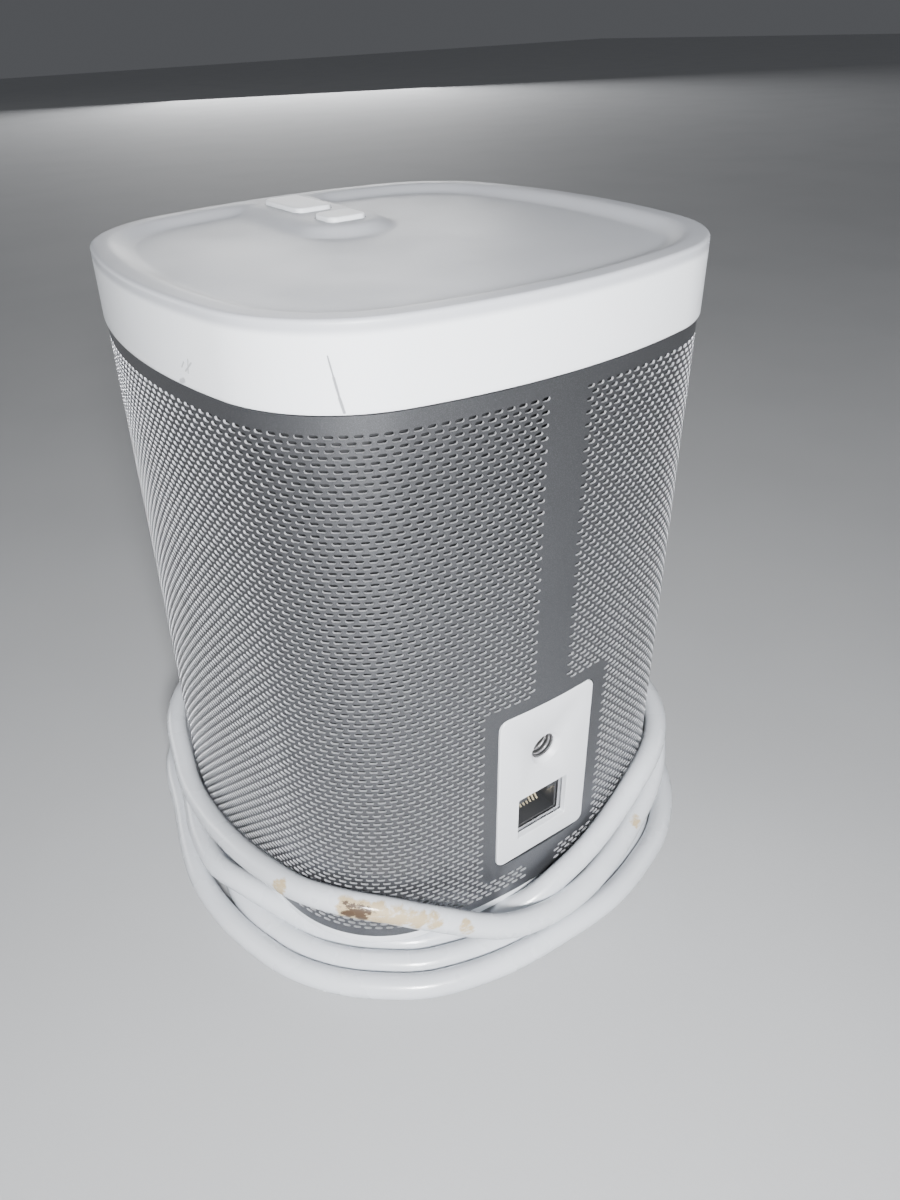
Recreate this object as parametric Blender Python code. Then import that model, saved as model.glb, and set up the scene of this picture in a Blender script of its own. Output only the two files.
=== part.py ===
"""Smart speaker: a rounded square cabinet with a wrap-round metal grille, touch keys on
top, a wall-mount thread and a network socket at the back, and its mains lead wound
round the base.

Frame: metres, +Z up, the front faces -Y, the floor is z = 0 and the origin lies under
the middle of the cabinet.
"""

import math

import bmesh
import bpy
from mathutils import Vector

MM = 0.001

# ---------------------------------------------------------------- driving dimensions
WIDTH = 119.7 * MM
HEIGHT = 161.45 * MM
SIDE_RADIUS = 143.0 * MM
CORNER_RADIUS = 31.5 * MM
SIDE_STEPS = 6
CORNER_STEPS = 6
GAP = 0.3 * MM

KEY_PROUD = 1.05 * MM
RIM_Z = HEIGHT - KEY_PROUD
CAP_SKIRT = 16.0 * MM
CAP_WALL = 2.2 * MM
DISH_DEPTH = 1.9 * MM
RIM_WIDTH = 3.6 * MM

GRILLE_INSET = 0.5 * MM
GRILLE_SHEET = 0.8 * MM
GRILLE_BOTTOM = 11.05 * MM

RING_BOTTOM = 8.05 * MM
RING_INSET = 0.9 * MM
FOOT_INSET = 12.0 * MM
PEDESTAL_INSET = 9.5 * MM
FOOT_THICK = 2.0 * MM

CORE_INSET = 4.0 * MM
CORE_BOTTOM = 11.9 * MM
DIVIDER_Y = 20.5 * MM

CORD_DIAMETER = 5.8 * MM
CORD_RADIUS = CORD_DIAMETER / 2
LEAD_Z = 4.2 * MM
INLET_Y = -5.0 * MM

# ---------------------------------------------------------------- values that follow
HALF = WIDTH / 2
CAP_BOTTOM = RIM_Z - CAP_SKIRT
CAP_CEILING = RIM_Z - 4.2 * MM
GRILLE_TOP = CAP_BOTTOM - GAP
CORE_TOP = CAP_BOTTOM - 1.0 * MM
CORNER_CENTRE_REACH = SIDE_RADIUS - HALF
ARC_GAP = SIDE_RADIUS - CORNER_RADIUS
CORNER_CENTRE = (
    math.sqrt(2 * ARC_GAP**2 - CORNER_CENTRE_REACH**2) - CORNER_CENTRE_REACH
) / 2
SIDE_ANGLE = math.atan2(CORNER_CENTRE, CORNER_CENTRE + CORNER_CENTRE_REACH)

# ---------------------------------------------------------------- keys and their board
KEY_FRONT_Y = (-51.55 * MM, -32.25 * MM)
KEY_REAR_Y = (-24.9 * MM, -16.0 * MM)
KEY_HALF_WIDTH = 4.95 * MM
KEY_CLEARANCE = 0.35 * MM
KEY_FLANGE = 1.0 * MM
KEY_PIVOT_Y = sum(KEY_FRONT_Y) / 2
KEY_PIVOT_Z = CAP_CEILING - 1.2 * MM
STEM_REACH = 6.6 * MM
STEM_FOOT_Z = 153.9 * MM
BOARD_THICK = 1.6 * MM
KEY_BOARD_TOP = 150.5 * MM
LIGHT_Y = (KEY_FRONT_Y[1] + KEY_REAR_Y[0]) / 2

# ---------------------------------------------------------------- drivers
BAFFLE_FRONT = -46.5 * MM
BAFFLE_THICK = 3.0 * MM
WOOFER_Z = 60.0 * MM
WOOFER_RADIUS = 43.0 * MM
TWEETER_Z = 124.5 * MM
TWEETER_RADIUS = 17.8 * MM

# ---------------------------------------------------------------- rear panel
PANEL_FACE = 59.0 * MM
PANEL_THICK = 1.5 * MM
PANEL_HALF_WIDTH = 13.65 * MM
PANEL_Z = (22.35 * MM, 67.85 * MM)
INSERT_Z = 53.65 * MM
THREAD_RADIUS = 3.2 * MM
SOCKET_HALF_WIDTH = 7.45 * MM
SOCKET_Z = (28.55 * MM, 41.25 * MM)
MAIN_BOARD_Y = 40.0 * MM
POWER_BOARD_Y = 24.0 * MM

WHITE = ((0.80, 0.81, 0.82, 1.0), 0.38, 0.0)
BLACK = ((0.025, 0.026, 0.028, 1.0), 0.5, 0.0)
GREY_PAINT = ((0.24, 0.245, 0.26, 1.0), 0.38, 0.7)
RUBBER = ((0.05, 0.05, 0.052, 1.0), 0.85, 0.0)
STEEL = ((0.55, 0.56, 0.57, 1.0), 0.3, 1.0)
BOARD_GREEN = ((0.03, 0.16, 0.07, 1.0), 0.45, 0.0)
GOLD = ((0.83, 0.62, 0.27, 1.0), 0.25, 1.0)
COPPER = ((0.60, 0.27, 0.12, 1.0), 0.35, 1.0)
CONE_GREY = ((0.07, 0.07, 0.075, 1.0), 0.7, 0.0)
ALUMINIUM = ((0.62, 0.63, 0.64, 1.0), 0.35, 1.0)
CLEAR = ((0.9, 0.92, 0.92, 1.0), 0.15, 0.0)
FERRITE = ((0.06, 0.06, 0.065, 1.0), 0.6, 0.0)
FOAM = ((0.12, 0.12, 0.13, 1.0), 0.95, 0.0)

# The wound lead: wall angle in degrees (0 front, 90 right, 180 back, 270 left, and on
# past 360 for each further turn), then how far its middle lies outside the grille and
# its height, both in millimetres.
WINDING = [
    (200, -4.5, 2.9),
    (227, -4.3, 2.9),
    (260, -3.9, 2.9),
    (300, -2.5, 2.9),
    (350, -0.8, 2.9),
    (400, -0.2, 2.9),
    (432, 0.2, 2.9),
    (446, 0.6, 2.9),
    (454, 2.2, 2.9),
    (462, 4.2, 2.9),
    (470, 4.5, 2.9),
    (481, 3.0, 2.9),
    (491, 1.6, 2.9),
    (501, 1.4, 2.9),
    (510, 3.2, 2.9),
    (523, 4.9, 2.9),
    (530, 5.5, 2.9),
    (538, 5.4, 2.9),
    (552, 5.2, 2.9),
    (569, 3.4, 2.9),
    (579, 1.9, 2.9),
    (587, 1.7, 2.9),
    (605, 2.3, 2.9),
    (620, 3.2, 2.9),
    (635, 4.4, 2.9),
    (650, 5.6, 2.9),
    (665, 6.6, 2.9),
    (690, 7.3, 2.9),
    (720, 7.4, 2.9),
    (750, 7.1, 2.9),
    (770, 6.8, 2.9),
    (792, 6.8, 2.9),
    (802, 8.6, 2.9),
    (814, 10.6, 2.9),
    (828, 10.6, 2.9),
    (841, 8.9, 2.9),
    (851, 7.5, 2.9),
    (861, 7.4, 2.9),
    (870, 9.2, 2.9),
    (883, 10.7, 2.9),
    (898, 10.9, 2.9),
    (912, 11.3, 2.9),
    (929, 9.4, 2.9),
    (939, 8.0, 2.9),
    (947, 7.8, 2.9),
    (960, 8.3, 3.1),
    (975, 8.5, 4.4),
    (990, 7.4, 7.4),
    (1005, 5.6, 8.7),
    (1020, 4.6, 8.2),
    (1050, 3.8, 7.5),
    (1085, 3.6, 7.4),
    (1120, 3.6, 7.7),
    (1152, 3.6, 8.0),
    (1166, 6.0, 8.0),
    (1176, 6.4, 8.3),
    (1185, 3.8, 8.6),
    (1195, -0.4, 6.0),
    (1202, -2.6, 4.0),
    (1211, -4.3, 2.9),
    (1221, -4.5, 2.9),
    (1230, -2.9, 2.9),
    (1240, -1.5, 3.2),
    (1246, -0.2, 4.4),
    (1250, 1.5, 6.4),
    (1255, 3.2, 8.9),
    (1262, 3.6, 11.8),
    (1273, 3.5, 15.5),
    (1283, 3.4, 21.0),
    (1292, 3.3, 26.5),
    (1305, 3.3, 29.2),
    (1320, 3.4, 29.4),
    (1340, 3.4, 28.6),
    (1370, 3.4, 26.5),
    (1400, 3.4, 24.8),
    (1430, 3.4, 23.6),
    (1460, 3.4, 22.8),
    (1480, 3.4, 22.2),
    (1497, 3.4, 21.5),
    (1506, 3.6, 20.0),
    (1517, 4.3, 18.6),
    (1530, 4.0, 19.0),
    (1547, 3.6, 22.0),
    (1562, 3.3, 25.5),
    (1574, 3.5, 27.0),
    (1583, 3.7, 25.0),
    (1592, 5.4, 20.2),
    (1600, 7.4, 15.4),
    (1606, 8.6, 12.4),
    (1615, 9.0, 9.9),
    (1627, 8.2, 9.2),
    (1639, 6.5, 11.2),
    (1651, 4.7, 14.8),
    (1659, 4.2, 18.0),
    (1666, 4.0, 21.4),
    (1673, 3.9, 23.0),
    (1690, 4.4, 19.8),
    (1702, 6.4, 17.2),
    (1714, 9.6, 13.6),
    (1724, 13.6, 9.4),
    (1732, 17.2, 6.2),
]
# The lead under the cabinet, from its connector to where the winding starts.
LEAD_UNDER = [
    (0.0, 24.6, 4.2),
    (-0.1, 28.0, 4.2),
    (-0.9, 32.0, 4.1),
    (-3.0, 36.5, 3.8),
    (-7.4, 42.5, 3.4),
]
# The end of the lead, from the winding to the mains plug, on the floor.
LEAD_TAIL = [
    (-79.6, -32.5, 4.0),
    (-81.2, -40.0, 3.1),
    (-82.0, -47.0, 3.2),
    (-82.0, -53.0, 3.9),
    (-82.0, -58.3, 4.1),
]
PLUG_X = -82.0 * MM
PLUG_Z = 8.0 * MM
RELIEF_Y = (-58.8 * MM, -80.0 * MM)
PLUG_Y = (-79.0 * MM, -109.0 * MM)


# ---------------------------------------------------------------- building blocks
def clear_scene():
    for item in list(bpy.data.objects):
        bpy.data.objects.remove(item, do_unlink=True)


def finish(name, rgba, roughness, metallic):
    material = bpy.data.materials.get(name)
    if material is None:
        material = bpy.data.materials.new(name)
        material.use_nodes = True
        shader = material.node_tree.nodes["Principled BSDF"]
        shader.inputs["Base Color"].default_value = rgba
        shader.inputs["Roughness"].default_value = roughness
        shader.inputs["Metallic"].default_value = metallic
    return material


def add_object(name, mesh, look, origin=None):
    item = bpy.data.objects.new(name, mesh)
    bpy.context.scene.collection.objects.link(item)
    item.data.materials.append(finish(name, *look))
    if origin is not None:
        shift = Vector(origin)
        for vertex in mesh.vertices:
            vertex.co -= shift
        item.location = shift
    return item


def mesh_from(name, points, faces):
    """A closed mesh with its faces turned outwards."""
    mesh = bpy.data.meshes.new(name)
    mesh.from_pydata(points, [], faces)
    shape = bmesh.new()
    shape.from_mesh(mesh)
    bmesh.ops.remove_doubles(shape, verts=shape.verts, dist=1e-7)
    bmesh.ops.recalc_face_normals(shape, faces=shape.faces)
    shape.to_mesh(mesh)
    shape.free()
    mesh.shade_smooth()
    mesh.set_sharp_from_angle(angle=math.radians(35))
    return mesh


def loft(name, rings, closed=False):
    """A skin through rings of equal length, capped at both ends unless it closes."""
    count = len(rings[0])
    points = [point for ring in rings for point in ring]
    faces = []
    last = len(rings) if closed else len(rings) - 1
    for row in range(last):
        above = (row + 1) % len(rings)
        for k in range(count):
            step = (k + 1) % count
            faces.append(
                (
                    row * count + k,
                    row * count + step,
                    above * count + step,
                    above * count + k,
                )
            )
    if not closed:
        faces.append(tuple(range(count))[::-1])
        faces.append(tuple((len(rings) - 1) * count + k for k in range(count)))
    return mesh_from(name, points, faces)


def plan(inset):
    """The cabinet's outline seen from above, moved inwards by inset."""
    points = []
    for quarter in range(4):
        turn = quarter * math.pi / 2
        flat = []
        for k in range(SIDE_STEPS):
            angle = SIDE_ANGLE * (2 * k / SIDE_STEPS - 1)
            reach = SIDE_RADIUS - inset
            x = reach * math.cos(angle) - CORNER_CENTRE_REACH
            flat.append((x, reach * math.sin(angle)))
        for k in range(CORNER_STEPS):
            angle = SIDE_ANGLE + (math.pi / 2 - 2 * SIDE_ANGLE) * k / CORNER_STEPS
            reach = CORNER_RADIUS - inset
            x = CORNER_CENTRE + reach * math.cos(angle)
            flat.append((x, CORNER_CENTRE + reach * math.sin(angle)))
        for x, y in flat:
            points.append(
                (
                    x * math.cos(turn) - y * math.sin(turn),
                    x * math.sin(turn) + y * math.cos(turn),
                )
            )
    return points


def level(outline, z):
    return [(x, y, z) for x, y in outline]


def plan_rings(steps):
    """Rings of the cabinet's outline, from (inset, height) pairs."""
    return [level(plan(inset), z) for inset, z in steps]


def block(name, low, high):
    x0, y0, z0 = low
    x1, y1, z1 = high
    outline = [(x0, y0), (x1, y0), (x1, y1), (x0, y1)]
    return loft(name, [level(outline, z0), level(outline, z1)])


def rounded_outline(centre, half, radius, steps=4):
    """A rectangle with rounded corners, as (u, v) points."""
    points = []
    for quarter, (su, sv) in enumerate(((1, 1), (-1, 1), (-1, -1), (1, -1))):
        cu = centre[0] + su * (half[0] - radius)
        cv = centre[1] + sv * (half[1] - radius)
        for k in range(steps + 1):
            angle = (quarter + k / steps) * math.pi / 2
            points.append((cu + radius * math.cos(angle), cv + radius * math.sin(angle)))
    return points


def slab(name, centre, half, radius, z_levels, grow=None):
    """A rounded rectangle stood on its plan through the given heights."""
    rings = []
    for k, z in enumerate(z_levels):
        extra = 0.0 if grow is None else grow[k]
        size = (half[0] + extra, half[1] + extra)
        rings.append(level(rounded_outline(centre, size, radius + extra), z))
    return loft(name, rings)


def upright(name, centre, half, radius, y_levels, grow=None):
    """A rounded rectangle in the X-Z plane, drawn through the given depths."""
    rings = []
    for k, y in enumerate(y_levels):
        extra = 0.0 if grow is None else grow[k]
        size = (half[0] + extra, half[1] + extra)
        outline = rounded_outline(centre, size, radius + extra)
        rings.append([(x, y, z) for x, z in outline])
    return loft(name, rings)


def turned(name, profile, centre, axis="Y", steps=32, closed=True):
    """A profile of (radius, distance along the axis) turned about the axis."""
    rings = []
    for k in range(steps):
        angle = 2 * math.pi * k / steps
        ring = []
        for radius, along in profile:
            across = radius * math.cos(angle)
            up = radius * math.sin(angle)
            if axis == "Y":
                place = (centre[0] + across, centre[1] + along, centre[2] + up)
            elif axis == "X":
                place = (centre[0] + along, centre[1] + across, centre[2] + up)
            else:
                place = (centre[0] + across, centre[1] + up, centre[2] + along)
            ring.append(place)
        rings.append(ring)
    count = len(profile)
    points = [point for ring in rings for point in ring]
    faces = []
    for k in range(steps):
        after = (k + 1) % steps
        for j in range(count if closed else count - 1):
            beyond = (j + 1) % count
            faces.append(
                (k * count + j, k * count + beyond, after * count + beyond, after * count + j)
            )
    mesh = bpy.data.meshes.new(name)
    mesh.from_pydata(points, [], faces)
    shape = bmesh.new()
    shape.from_mesh(mesh)
    bmesh.ops.remove_doubles(shape, verts=shape.verts, dist=1e-7)
    bmesh.ops.dissolve_degenerate(shape, edges=shape.edges, dist=1e-7)
    bmesh.ops.recalc_face_normals(shape, faces=shape.faces)
    shape.to_mesh(mesh)
    shape.free()
    mesh.shade_smooth()
    mesh.set_sharp_from_angle(angle=math.radians(35))
    return mesh


def rod(name, centre, radius, length, axis="Z", steps=20):
    profile = [(0.0, 0.0), (radius, 0.0), (radius, length), (0.0, length)]
    return turned(name, profile, centre, axis, steps, closed=False)


def cutter(name, mesh):
    item = bpy.data.objects.new(name, mesh)
    bpy.context.scene.collection.objects.link(item)
    item.hide_render = True
    item.display_type = "WIRE"
    return item


def combine(item, name, mesh, operation="DIFFERENCE"):
    modifier = item.modifiers.new(name, "BOOLEAN")
    modifier.operation = operation
    modifier.solver = "EXACT"
    modifier.object = cutter(item.name + "_" + name, mesh)


def smooth_line(points, spacing):
    """Even points on a smooth curve through the given ones."""
    ends = [points[0] * 2 - points[1]] + points + [points[-1] * 2 - points[-2]]
    fine = []
    for k in range(1, len(ends) - 2):
        a, b, c, d = ends[k - 1 : k + 3]
        for step in range(12):
            t = step / 12
            fine.append(
                0.5
                * (
                    2 * b
                    + (c - a) * t
                    + (2 * a - 5 * b + 4 * c - d) * t**2
                    + (3 * b - a - 3 * c + d) * t**3
                )
            )
    fine.append(points[-1])
    total = sum((q - p).length for p, q in zip(fine, fine[1:]))
    count = max(2, round(total / spacing))
    wanted = [total * k / count for k in range(count + 1)]
    line = [fine[0]]
    walked = 0.0
    target = 1
    for p, q in zip(fine, fine[1:]):
        length = (q - p).length
        while target < count and walked + length >= wanted[target]:
            share = (wanted[target] - walked) / length
            line.append(p.lerp(q, share))
            target += 1
        walked += length
    line.append(fine[-1])
    return line


def tube(name, route, look):
    """A lead along a list of millimetre points."""
    points = [Vector(point) * MM for point in route]
    line = smooth_line(points, 2.2 * CORD_DIAMETER)
    curve = bpy.data.curves.new(name, "CURVE")
    curve.dimensions = "3D"
    curve.bevel_depth = CORD_RADIUS
    curve.bevel_resolution = 3
    curve.use_fill_caps = True
    spline = curve.splines.new("POLY")
    spline.points.add(len(line) - 1)
    for point, place in zip(spline.points, line):
        point.co = (*place, 1.0)
    item = bpy.data.objects.new(name, curve)
    bpy.context.scene.collection.objects.link(item)
    curve.materials.append(finish(name, *look))
    return item


# ---------------------------------------------------------------- top
def build_top_cap():
    steps = [
        (24.0 * MM, CAP_CEILING),
        (CAP_WALL + 1.0 * MM, CAP_CEILING),
        (CAP_WALL, CAP_CEILING - 1.0 * MM),
        (CAP_WALL, CAP_BOTTOM),
        (0.3 * MM, CAP_BOTTOM),
        (0.0, CAP_BOTTOM + 0.3 * MM),
        (0.0, RIM_Z - 0.9 * MM),
        (0.3 * MM, RIM_Z - 0.25 * MM),
        (0.9 * MM, RIM_Z),
        (RIM_WIDTH, RIM_Z),
        (RIM_WIDTH + 1.6 * MM, RIM_Z - 0.25 * DISH_DEPTH),
        (RIM_WIDTH + 3.6 * MM, RIM_Z - 0.72 * DISH_DEPTH),
        (RIM_WIDTH + 6.0 * MM, RIM_Z - DISH_DEPTH),
        (24.0 * MM, RIM_Z - 1.15 * DISH_DEPTH),
    ]
    cap = add_object("top_cap", loft("top_cap", plan_rings(steps)), WHITE)
    front_y, back_y = -56.5 * MM, -12.0 * MM
    island = slab(
        "key_island",
        (0.0, (front_y + back_y) / 2),
        (8.2 * MM, (back_y - front_y) / 2),
        7.0 * MM,
        (RIM_Z - 2.6 * MM, RIM_Z - 1.2 * MM, RIM_Z - 0.05 * MM),
        (2.2 * MM, 1.6 * MM, 0.0),
    )
    combine(cap, "island", island, "UNION")
    for side in (-1, 1):
        x = sorted((side * (KEY_HALF_WIDTH + 1.9 * MM), side * (KEY_HALF_WIDTH + 3.4 * MM)))
        low = (x[0], KEY_PIVOT_Y - 1.8 * MM, KEY_PIVOT_Z - 1.8 * MM)
        high = (x[1], KEY_PIVOT_Y + 1.8 * MM, CAP_CEILING + 0.6 * MM)
        combine(cap, "pivot_lug_%d" % side, block("pivot_lug", low, high), "UNION")
    for tag, (y0, y1) in (("volume", KEY_FRONT_Y), ("play", KEY_REAR_Y)):
        opening = slab(
            "opening",
            (0.0, (y0 + y1) / 2),
            (KEY_HALF_WIDTH + KEY_CLEARANCE, (y1 - y0) / 2 + KEY_CLEARANCE),
            2.3 * MM,
            (CAP_CEILING - 5.0 * MM, RIM_Z + 5.0 * MM),
        )
        combine(cap, tag + "_opening", opening)
    light = rod("light_hole", (0.0, LIGHT_Y, CAP_CEILING - 2.0 * MM), 1.2 * MM, 8.0 * MM)
    combine(cap, "light_hole", light)
    length = 2 * (KEY_HALF_WIDTH + 5.0 * MM)
    pivot = (-length / 2, KEY_PIVOT_Y, KEY_PIVOT_Z)
    combine(cap, "pivot_bore", rod("pivot_bore", pivot, 0.9 * MM, length, "X"))


def key_mesh(name, y_range, stems):
    """A key with its hidden flange and the stems that reach the switches."""
    y0, y1 = y_range
    centre = (0.0, (y0 + y1) / 2)
    half = (KEY_HALF_WIDTH, (y1 - y0) / 2)
    flange_top = CAP_CEILING - 0.7 * MM
    flange_half = (half[0] + KEY_FLANGE, half[1] + KEY_FLANGE)
    rings = [
        level(rounded_outline(centre, flange_half, 2.6 * MM), flange_top - 0.9 * MM),
        level(rounded_outline(centre, flange_half, 2.6 * MM), flange_top),
        level(rounded_outline(centre, half, 2.0 * MM), flange_top),
        level(rounded_outline(centre, half, 2.0 * MM), HEIGHT - 0.35 * MM),
        level(
            rounded_outline(centre, (half[0] - 0.35 * MM, half[1] - 0.35 * MM), 1.65 * MM),
            HEIGHT,
        ),
    ]
    body = add_object(name, loft(name, rings), WHITE)
    for k, y in enumerate(stems):
        low = (-1.4 * MM, y - 1.4 * MM, STEM_FOOT_Z)
        high = (1.4 * MM, y + 1.4 * MM, flange_top - 0.4 * MM)
        combine(body, "stem_%d" % k, block("stem", low, high), "UNION")
    return body


def place_origin(item, origin):
    """Move an object's origin to its joint without moving its shape."""
    shift = Vector(origin)
    for vertex in item.data.vertices:
        vertex.co -= shift
    item.location = shift


def build_keys():
    stems = (KEY_PIVOT_Y - STEM_REACH, KEY_PIVOT_Y + STEM_REACH)
    volume = key_mesh("volume_key", KEY_FRONT_Y, stems)
    low = (-3.4 * MM, KEY_PIVOT_Y - 1.5 * MM, KEY_PIVOT_Z - 1.5 * MM)
    high = (3.4 * MM, KEY_PIVOT_Y + 1.5 * MM, CAP_CEILING - 0.9 * MM)
    combine(volume, "pivot_boss", block("pivot_boss", low, high), "UNION")
    length = 2 * (KEY_HALF_WIDTH + 5.0 * MM)
    pivot = (-length / 2, KEY_PIVOT_Y, KEY_PIVOT_Z)
    combine(volume, "pivot_bore", rod("volume_bore", pivot, 0.9 * MM, length, "X"))
    place_origin(volume, (0.0, KEY_PIVOT_Y, KEY_PIVOT_Z))
    play_y = sum(KEY_REAR_Y) / 2
    play = key_mesh("play_key", KEY_REAR_Y, (play_y,))
    place_origin(play, (0.0, play_y, KEY_PIVOT_Z))
    reach = KEY_HALF_WIDTH + 3.2 * MM
    pin = rod("volume_key_pin", (-reach, KEY_PIVOT_Y, KEY_PIVOT_Z), 0.6 * MM, 2 * reach, "X", 16)
    add_object("volume_key_pin", pin, STEEL)
    pipe = [
        (0.0, 152.0 * MM),
        (0.9 * MM, 152.0 * MM),
        (0.9 * MM, 154.4 * MM),
        (1.6 * MM, 154.4 * MM),
        (1.6 * MM, 155.6 * MM),
        (0.9 * MM, 155.6 * MM),
        (0.9 * MM, RIM_Z - 0.05 * MM),
        (0.0, RIM_Z - 0.05 * MM),
    ]
    mesh = turned("status_light_pipe", pipe, (0.0, LIGHT_Y, 0.0), "Z", 20, closed=False)
    add_object("status_light_pipe", mesh, CLEAR)


def switch_places():
    """Where the three tact switches stand on the key board."""
    return {
        "volume_down": (0.0, KEY_PIVOT_Y - STEM_REACH),
        "volume_up": (0.0, KEY_PIVOT_Y + STEM_REACH),
        "play": (0.0, sum(KEY_REAR_Y) / 2),
    }


def board_post_places():
    return [(x * MM, y * MM) for x in (-10.0, 10.0) for y in (-50.5, -15.5)]


def build_key_board():
    board = slab(
        "key_board",
        (0.0, -33.0 * MM),
        (12.5 * MM, 20.5 * MM),
        1.5 * MM,
        (KEY_BOARD_TOP - BOARD_THICK, KEY_BOARD_TOP),
    )
    board = add_object("key_board", board, BOARD_GREEN)
    for k, (x, y) in enumerate(board_post_places()):
        low = (x, y, KEY_BOARD_TOP - 3.0 * MM)
        combine(board, "post_hole_%d" % k, rod("hole", low, 1.4 * MM, 6.0 * MM, steps=14))
    for name, (x, y) in switch_places().items():
        profile = [
            (0.0, KEY_BOARD_TOP + GAP),
            (2.6 * MM, KEY_BOARD_TOP + GAP),
            (2.6 * MM, KEY_BOARD_TOP + 2.1 * MM),
            (1.35 * MM, KEY_BOARD_TOP + 2.1 * MM),
            (1.35 * MM, KEY_BOARD_TOP + 0.9 * MM),
            (0.0, KEY_BOARD_TOP + 0.9 * MM),
        ]
        switch = turned(name + "_switch", profile, (x, y, 0.0), "Z", 16, closed=False)
        add_object(name + "_switch", switch, STEEL)
        bottom = KEY_BOARD_TOP + 1.4 * MM
        button = rod(name, (x, y, bottom), 1.0 * MM, STEM_FOOT_Z - GAP - bottom, steps=16)
        add_object(name + "_plunger", button, BLACK, (x, y, bottom))


def build_top_frame():
    bottom = CORE_TOP + GAP
    top = bottom + 2.4 * MM
    steps = [(3.0 * MM, bottom), (3.0 * MM, top)]
    frame = add_object("top_frame", loft("top_frame", plan_rings(steps)), BLACK)
    window = slab("window", (0.0, 20.0 * MM), (30.0 * MM, 18.0 * MM), 4.0 * MM, (0.1, 0.2))
    combine(frame, "cable_window", window)
    post_top = KEY_BOARD_TOP - BOARD_THICK - GAP
    for k, (x, y) in enumerate(board_post_places()):
        profile = [
            (0.0, top - 1.0 * MM),
            (2.2 * MM, top - 1.0 * MM),
            (2.2 * MM, post_top),
            (1.1 * MM, post_top),
            (1.1 * MM, KEY_BOARD_TOP + 0.9 * MM),
            (0.0, KEY_BOARD_TOP + 1.4 * MM),
        ]
        post = turned("post", profile, (x, y, 0.0), "Z", 14, closed=False)
        combine(frame, "post_%d" % k, post, "UNION")


# ---------------------------------------------------------------- casing
def build_grille():
    inner = GRILLE_INSET + GRILLE_SHEET
    steps = [
        (GRILLE_INSET, GRILLE_BOTTOM),
        (GRILLE_INSET, GRILLE_TOP),
        (inner, GRILLE_TOP),
        (inner, GRILLE_BOTTOM),
    ]
    grille = add_object("grille", loft("grille", plan_rings(steps), closed=True), GREY_PAINT)
    centre = (0.0, sum(PANEL_Z) / 2)
    half = (PANEL_HALF_WIDTH + GAP, (PANEL_Z[1] - PANEL_Z[0]) / 2 + GAP)
    opening = upright("opening", centre, half, 2.5 * MM, (50.0 * MM, 70.0 * MM))
    combine(grille, "panel_opening", opening)


def build_rear_panel():
    centre = (0.0, sum(PANEL_Z) / 2)
    half = (PANEL_HALF_WIDTH, (PANEL_Z[1] - PANEL_Z[0]) / 2)
    back = PANEL_FACE - PANEL_THICK
    levels = (back, PANEL_FACE - 0.3 * MM, PANEL_FACE)
    mesh = upright("rear_panel", centre, half, 2.2 * MM, levels, (0.0, 0.0, -0.3 * MM))
    panel = add_object("rear_panel", mesh, WHITE)
    profile = [
        (0.0, -3.0 * MM),
        (THREAD_RADIUS + 0.1 * MM, -3.0 * MM),
        (THREAD_RADIUS + 0.1 * MM, -1.2 * MM),
        (4.4 * MM, 0.0),
        (4.4 * MM, 1.0 * MM),
        (0.0, 1.0 * MM),
    ]
    place = (0.0, PANEL_FACE, INSERT_Z)
    combine(panel, "thread_hole", turned("thread_hole", profile, place, "Y", 32, closed=False))
    low = (-SOCKET_HALF_WIDTH, back - 1.0 * MM, SOCKET_Z[0])
    high = (SOCKET_HALF_WIDTH, PANEL_FACE + 1.0 * MM, SOCKET_Z[1])
    combine(panel, "socket_hole", block("socket_hole", low, high))


def build_threaded_insert():
    """A metal insert with a plain bore of the thread's outer diameter."""
    front = PANEL_FACE - PANEL_THICK - GAP
    profile = [
        (THREAD_RADIUS, 45.0 * MM),
        (THREAD_RADIUS, front),
        (4.4 * MM, front),
        (4.4 * MM, 45.0 * MM),
    ]
    mesh = turned("threaded_insert", profile, (0.0, 0.0, INSERT_Z), "Y", 32)
    add_object("threaded_insert", mesh, STEEL)


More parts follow.
